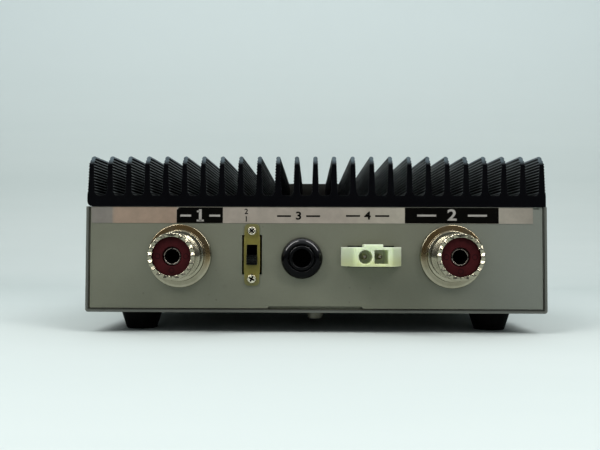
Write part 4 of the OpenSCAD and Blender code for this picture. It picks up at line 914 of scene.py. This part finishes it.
# plain figures as thin raised ink; turned to face -Y, or +Y when front is True
def inkShape(words, height, x, z, y, front=False, stretch=1.0, bold=0.0):
    curve = bpy.data.curves.new("ink", "FONT")
    curve.body = words
    curve.size = height * mm * inkValues["fontSize"]
    curve.align_x = "CENTER"
    curve.align_y = "CENTER"
    curve.extrude = inkValues["depth"] * mm / 2
    curve.offset = bold * mm
    curve.resolution_u = 4
    holder = addObject("ink", curve)
    bpy.context.view_layer.update()
    flat = bpy.data.meshes.new_from_object(holder.evaluated_get(bpy.context.evaluated_depsgraph_get()))
    bpy.data.objects.remove(holder)
    bpy.data.curves.remove(curve)
    turn = Matrix.Rotation(math.pi, 4, "Z") if front else Matrix.Identity(4)
    flat.transform(Matrix.Translation((x * mm, y * mm, z * mm)) @ turn @ Matrix.Rotation(math.pi / 2, 4, "X")
                   @ Matrix.Diagonal((stretch, 1, 1, 1)))
    shape = bmesh.new()
    shape.from_mesh(flat)
    bmesh.ops.remove_doubles(shape, verts=shape.verts, dist=1e-7)
    bpy.data.meshes.remove(flat)
    return shape


def inkBar(x, z, width, height, y, depth=inkValues["depth"]):
    half = depth * mm / 2
    return boxShape(((x - width / 2) * mm, y * mm - half, (z - height / 2) * mm),
                    ((x + width / 2) * mm, y * mm + half, (z + height / 2) * mm))


# places and sizes in mm; the last number of a numeral is how far out its two bars are
rearPrint = {"blocks": ((-41.37, 42.1, 16.57, 5.6), (48.49, 42.15, 33.27, 5.6)), "blockDepth": 0.03,
             "blockOut": 0.005, "cutCorner": 0.9, "darkOut": 0.01, "paleOut": 0.03,
             "level": (("2", -24.7, 43.4), ("1", -24.7, 40.7)), "levelHeight": 1.9, "levelBold": 0.06,
             "small": (("3", -6.0, 41.85), ("4", 18.6, 41.95)), "smallHeight": 2.8, "smallStretch": 1.2,
             "smallBold": 0.1, "smallReach": 5.2, "smallBar": 5.0, "stroke": 0.6,
             "numerals": (("1", -41.2, 41.95, 5.2), ("2", 48.6, 42.15, 9.0)), "numeralHeight": 4.0,
             "numeralStretch": 1.25, "numeralBold": 0.12, "numeralStroke": 0.7, "numeralBar": 0.75,
             "oneStrokes": ((0.0, -1.75, 2.6), (-0.7, 1.5, 1.0))}


def buildRearPrint():
    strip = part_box("rear_label")[0].y / mm
    v = rearPrint
    blocks = [inkBar(*block, strip - v["blockOut"], v["blockDepth"]) for block in v["blocks"]]
    x, z = v["blocks"][0][:2]
    corner = [vert for vert in blocks[0].verts if vert.co.z > z * mm and vert.co.x < x * mm]
    edge = [e for e in blocks[0].edges if e.verts[0] in corner and e.verts[1] in corner]
    bevelParts(blocks[0], edge, v["cutCorner"], 1)
    dark = strip - v["darkOut"]
    marks = [inkShape(word, v["levelHeight"], x, z, dark, bold=v["levelBold"]) for word, x, z in v["level"]]
    for word, x, z in v["small"]:
        marks.append(inkShape(word, v["smallHeight"], x, z, dark, stretch=v["smallStretch"], bold=v["smallBold"]))
        for side in (-1, 1):
            marks.append(inkBar(x + side * v["smallReach"], z, v["smallBar"], v["stroke"], dark))
    addPiece("rear_print_dark", joinShapes(*blocks, *marks), "label_strip", finish=printBlack)
    pale = strip - v["paleOut"]
    marks = []
    for word, x, z, reach in v["numerals"]:
        marks.append(inkShape(word, v["numeralHeight"], x, z, pale, stretch=v["numeralStretch"],
                              bold=v["numeralBold"]))
        if word == "1":
            for aside, rise, width in v["oneStrokes"]:
                marks.append(inkBar(x + aside, z + rise, width, v["stroke"], pale))
        for side in (-1, 1):
            marks.append(inkBar(x + side * reach, z, reach * v["numeralBar"], v["numeralStroke"], pale))
    addPiece("rear_print_pale", joinShapes(*marks), "label_strip", finish=printPale)


frontPrint = {"out": 0.01, "firstTurn": -75, "turnStep": 30, "places": 6, "figureRing": 18.6, "figure": 2.6,
              "tickRing": 15.6, "tick": (0.35, 1.8), "word": 2.2, "words": (("ON", 7.0), ("OFF", -7.0)),
              "lampPitch": 9, "lampFigure": 2.0, "lampRise": 5.0, "lineInset": 3.2, "lineEnds": 8, "line": 0.3}


def buildFrontPrint():
    low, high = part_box("facia_plate")
    v = frontPrint
    dial = middleOf("band_knob")
    face = high.y / mm + v["out"]
    marks = []
    for place in range(v["places"]):
        turn = math.radians(v["firstTurn"] + v["turnStep"] * place)
        aside, rise = -math.sin(turn), math.cos(turn)
        marks.append(inkShape(str(place + 1), v["figure"], dial.x / mm + v["figureRing"] * aside,
                              dial.z / mm + v["figureRing"] * rise, face, front=True))
        tick = inkBar(0, 0, *v["tick"], 0)
        turnShape(tick, -turn, "Y")
        moveShape(tick, (dial.x + v["tickRing"] * mm * aside, face * mm, dial.z + v["tickRing"] * mm * rise))
        marks.append(tick)
    for button in ("power_button", "preamp_button"):
        at = middleOf(button)
        for word, rise in v["words"]:
            marks.append(inkShape(word, v["word"], at.x / mm, at.z / mm + rise, face, front=True))
    lamp = middleOf("indicator_lamps")
    for number in range(3):
        x = lamp.x / mm + (number - 1) * v["lampPitch"]
        marks.append(inkShape(str(3 - number), v["lampFigure"], x, lamp.z / mm + v["lampRise"], face, front=True))
    middle = (low.x + high.x) / 2 / mm
    for z in (low.z / mm + v["lineInset"], high.z / mm - v["lineInset"]):
        marks.append(inkBar(middle, z, (high.x - low.x) / mm - v["lineEnds"], v["line"], face))
    addPiece("front_print", joinShapes(*marks), "facia_black", finish=printWhite)


buildRearPrint()
buildFrontPrint()


print("studio")

# place in mm, turns in degrees
cameraValues = {"place": (-1.81, -300.16, 30.96), "yaw": 0.864, "pitch": 1.809, "roll": -0.176,
                "focalPixels": 685.0, "imageWidth": 600, "sensor": 36.0}


def buildCamera():
    v = cameraValues
    data = bpy.data.cameras.new("camera")
    data.sensor_width = v["sensor"]
    data.lens = v["focalPixels"] / v["imageWidth"] * v["sensor"]
    data.clip_start = 0.01
    camera = addObject("camera", data)
    stand = Matrix.Translation([c * mm for c in v["place"]])
    for key, axis in (("yaw", "Z"), ("pitch", "X"), ("roll", "Y")):
        stand = stand @ Matrix.Rotation(math.radians(v[key]), 4, axis)
    camera.matrix_world = stand @ Matrix.Rotation(math.pi / 2, 4, "X")
    bpy.context.scene.camera = camera


sheetValues = {"floor": seen(202, 210, 208), "floorDark": seen(197, 206, 204), "high": seen(208, 218, 218),
               "highFrom": (40.0, 260.0), "front": -4000.0, "back": 300.0, "rounding": 90.0, "wall": 900.0,
               "lean": 60.0, "width": 2400.0}


# a pale sheet that rises behind the object; from its back it is clear, so that every side can be seen
def buildSheet():
    v = sheetValues
    sheet = makeFinish("paleSheet", v["floor"], v["floorDark"], rough=(0.5, 0.6), drift=9.0, contrast=0.35,
                       grain=60.0, stretch=(0.25, 1.0, 6.0), bump=0.02, direct={"Specular IOR Level": 0.0})
    shape = bmesh.new()
    line = [shape.verts.new((-v["width"] * mm, y * mm, z * mm)) for y, z in
            ((v["front"], 0), (v["back"], 0), (v["back"] + v["lean"], v["wall"]))]
    for first, second in zip(line, line[1:]):
        shape.edges.new((first, second))
    bevelParts(shape, [line[1]], v["rounding"], 16, "VERTICES")
    made = bmesh.ops.extrude_edge_only(shape, edges=shape.edges[:])
    moved = [item for item in made["geom"] if isinstance(item, bmesh.types.BMVert)]
    bmesh.ops.translate(shape, verts=moved, vec=(2 * v["width"] * mm, 0, 0))
    bmesh.ops.recalc_face_normals(shape, faces=shape.faces)
    if sum(face.normal.z * face.calc_area() for face in shape.faces) < 0:
        bmesh.ops.reverse_faces(shape, faces=shape.faces)
    tree = sheet.node_tree
    # painted light: the sheet turns lighter up the wall
    paintOver(sheet, between(tree, objectPlace(tree)["Z"], v["highFrom"]), v["high"])
    behind = addNode(tree, "NewGeometry").outputs["Backfacing"]
    mixed = addNode(tree, "MixShader", {0: behind, 1: tree.nodes["Principled BSDF"].outputs[0],
                                        2: addNode(tree, "BsdfTransparent").outputs[0]})
    tree.links.new(mixed.outputs[0], tree.nodes["Material Output"].inputs["Surface"])
    mesh = meshOf("paleSheet", shape)
    mesh.materials.append(sheet)
    addObject("pale_sheet", mesh)


skyValues = {"horizon": seen(82, 86, 88), "zenith": seen(196, 202, 206), "zenithFrom": 0.75}


def buildSky():
    world = bpy.data.worlds.new("studio")
    world.use_nodes = True
    bpy.context.scene.world = world
    tree = world.node_tree
    rise = addNode(tree, "SeparateXYZ", {0: addNode(tree, "TexCoord").outputs["Generated"]}).outputs["Z"]
    sky = colourRamp(tree, rise, [(0.0, skyValues["horizon"]), (skyValues["zenithFrom"], skyValues["zenith"])])
    feed(tree, tree.nodes["Background"], {"Color": sky})


lampAim = (0, 0, 30)
lampValues = {  # place in mm, width and depth in mm, power in watts, colour
    "leftBox": ((-310, -360, 410), (480, 80), 1.72, (1.0, 0.985, 0.96)),
    "rightBox": ((310, -360, 410), (480, 80), 1.72, (1.0, 0.985, 0.96)),
    "topBox": ((0, 20, 700), (1100, 800), 2.0, (0.96, 0.985, 1.0)),
}


def buildLights():
    for name, (place, size, power, colour) in lampValues.items():
        data = bpy.data.lights.new(name, "AREA")
        data.shape = "RECTANGLE"
        data.size, data.size_y = size[0] * mm, size[1] * mm
        data.energy = power
        data.color = colour
        at = Vector([c * mm for c in place])
        back = (at - Vector([c * mm for c in lampAim])).normalized()
        along = back.cross(Vector((0, 1, 0))).normalized()
        turn = Matrix((along, back.cross(along), back)).transposed()
        addObject(name, data).matrix_world = Matrix.Translation(at) @ turn.to_4x4()


buildCamera()
buildSheet()
buildSky()
buildLights()
bpy.context.scene.view_settings.view_transform = "Standard"
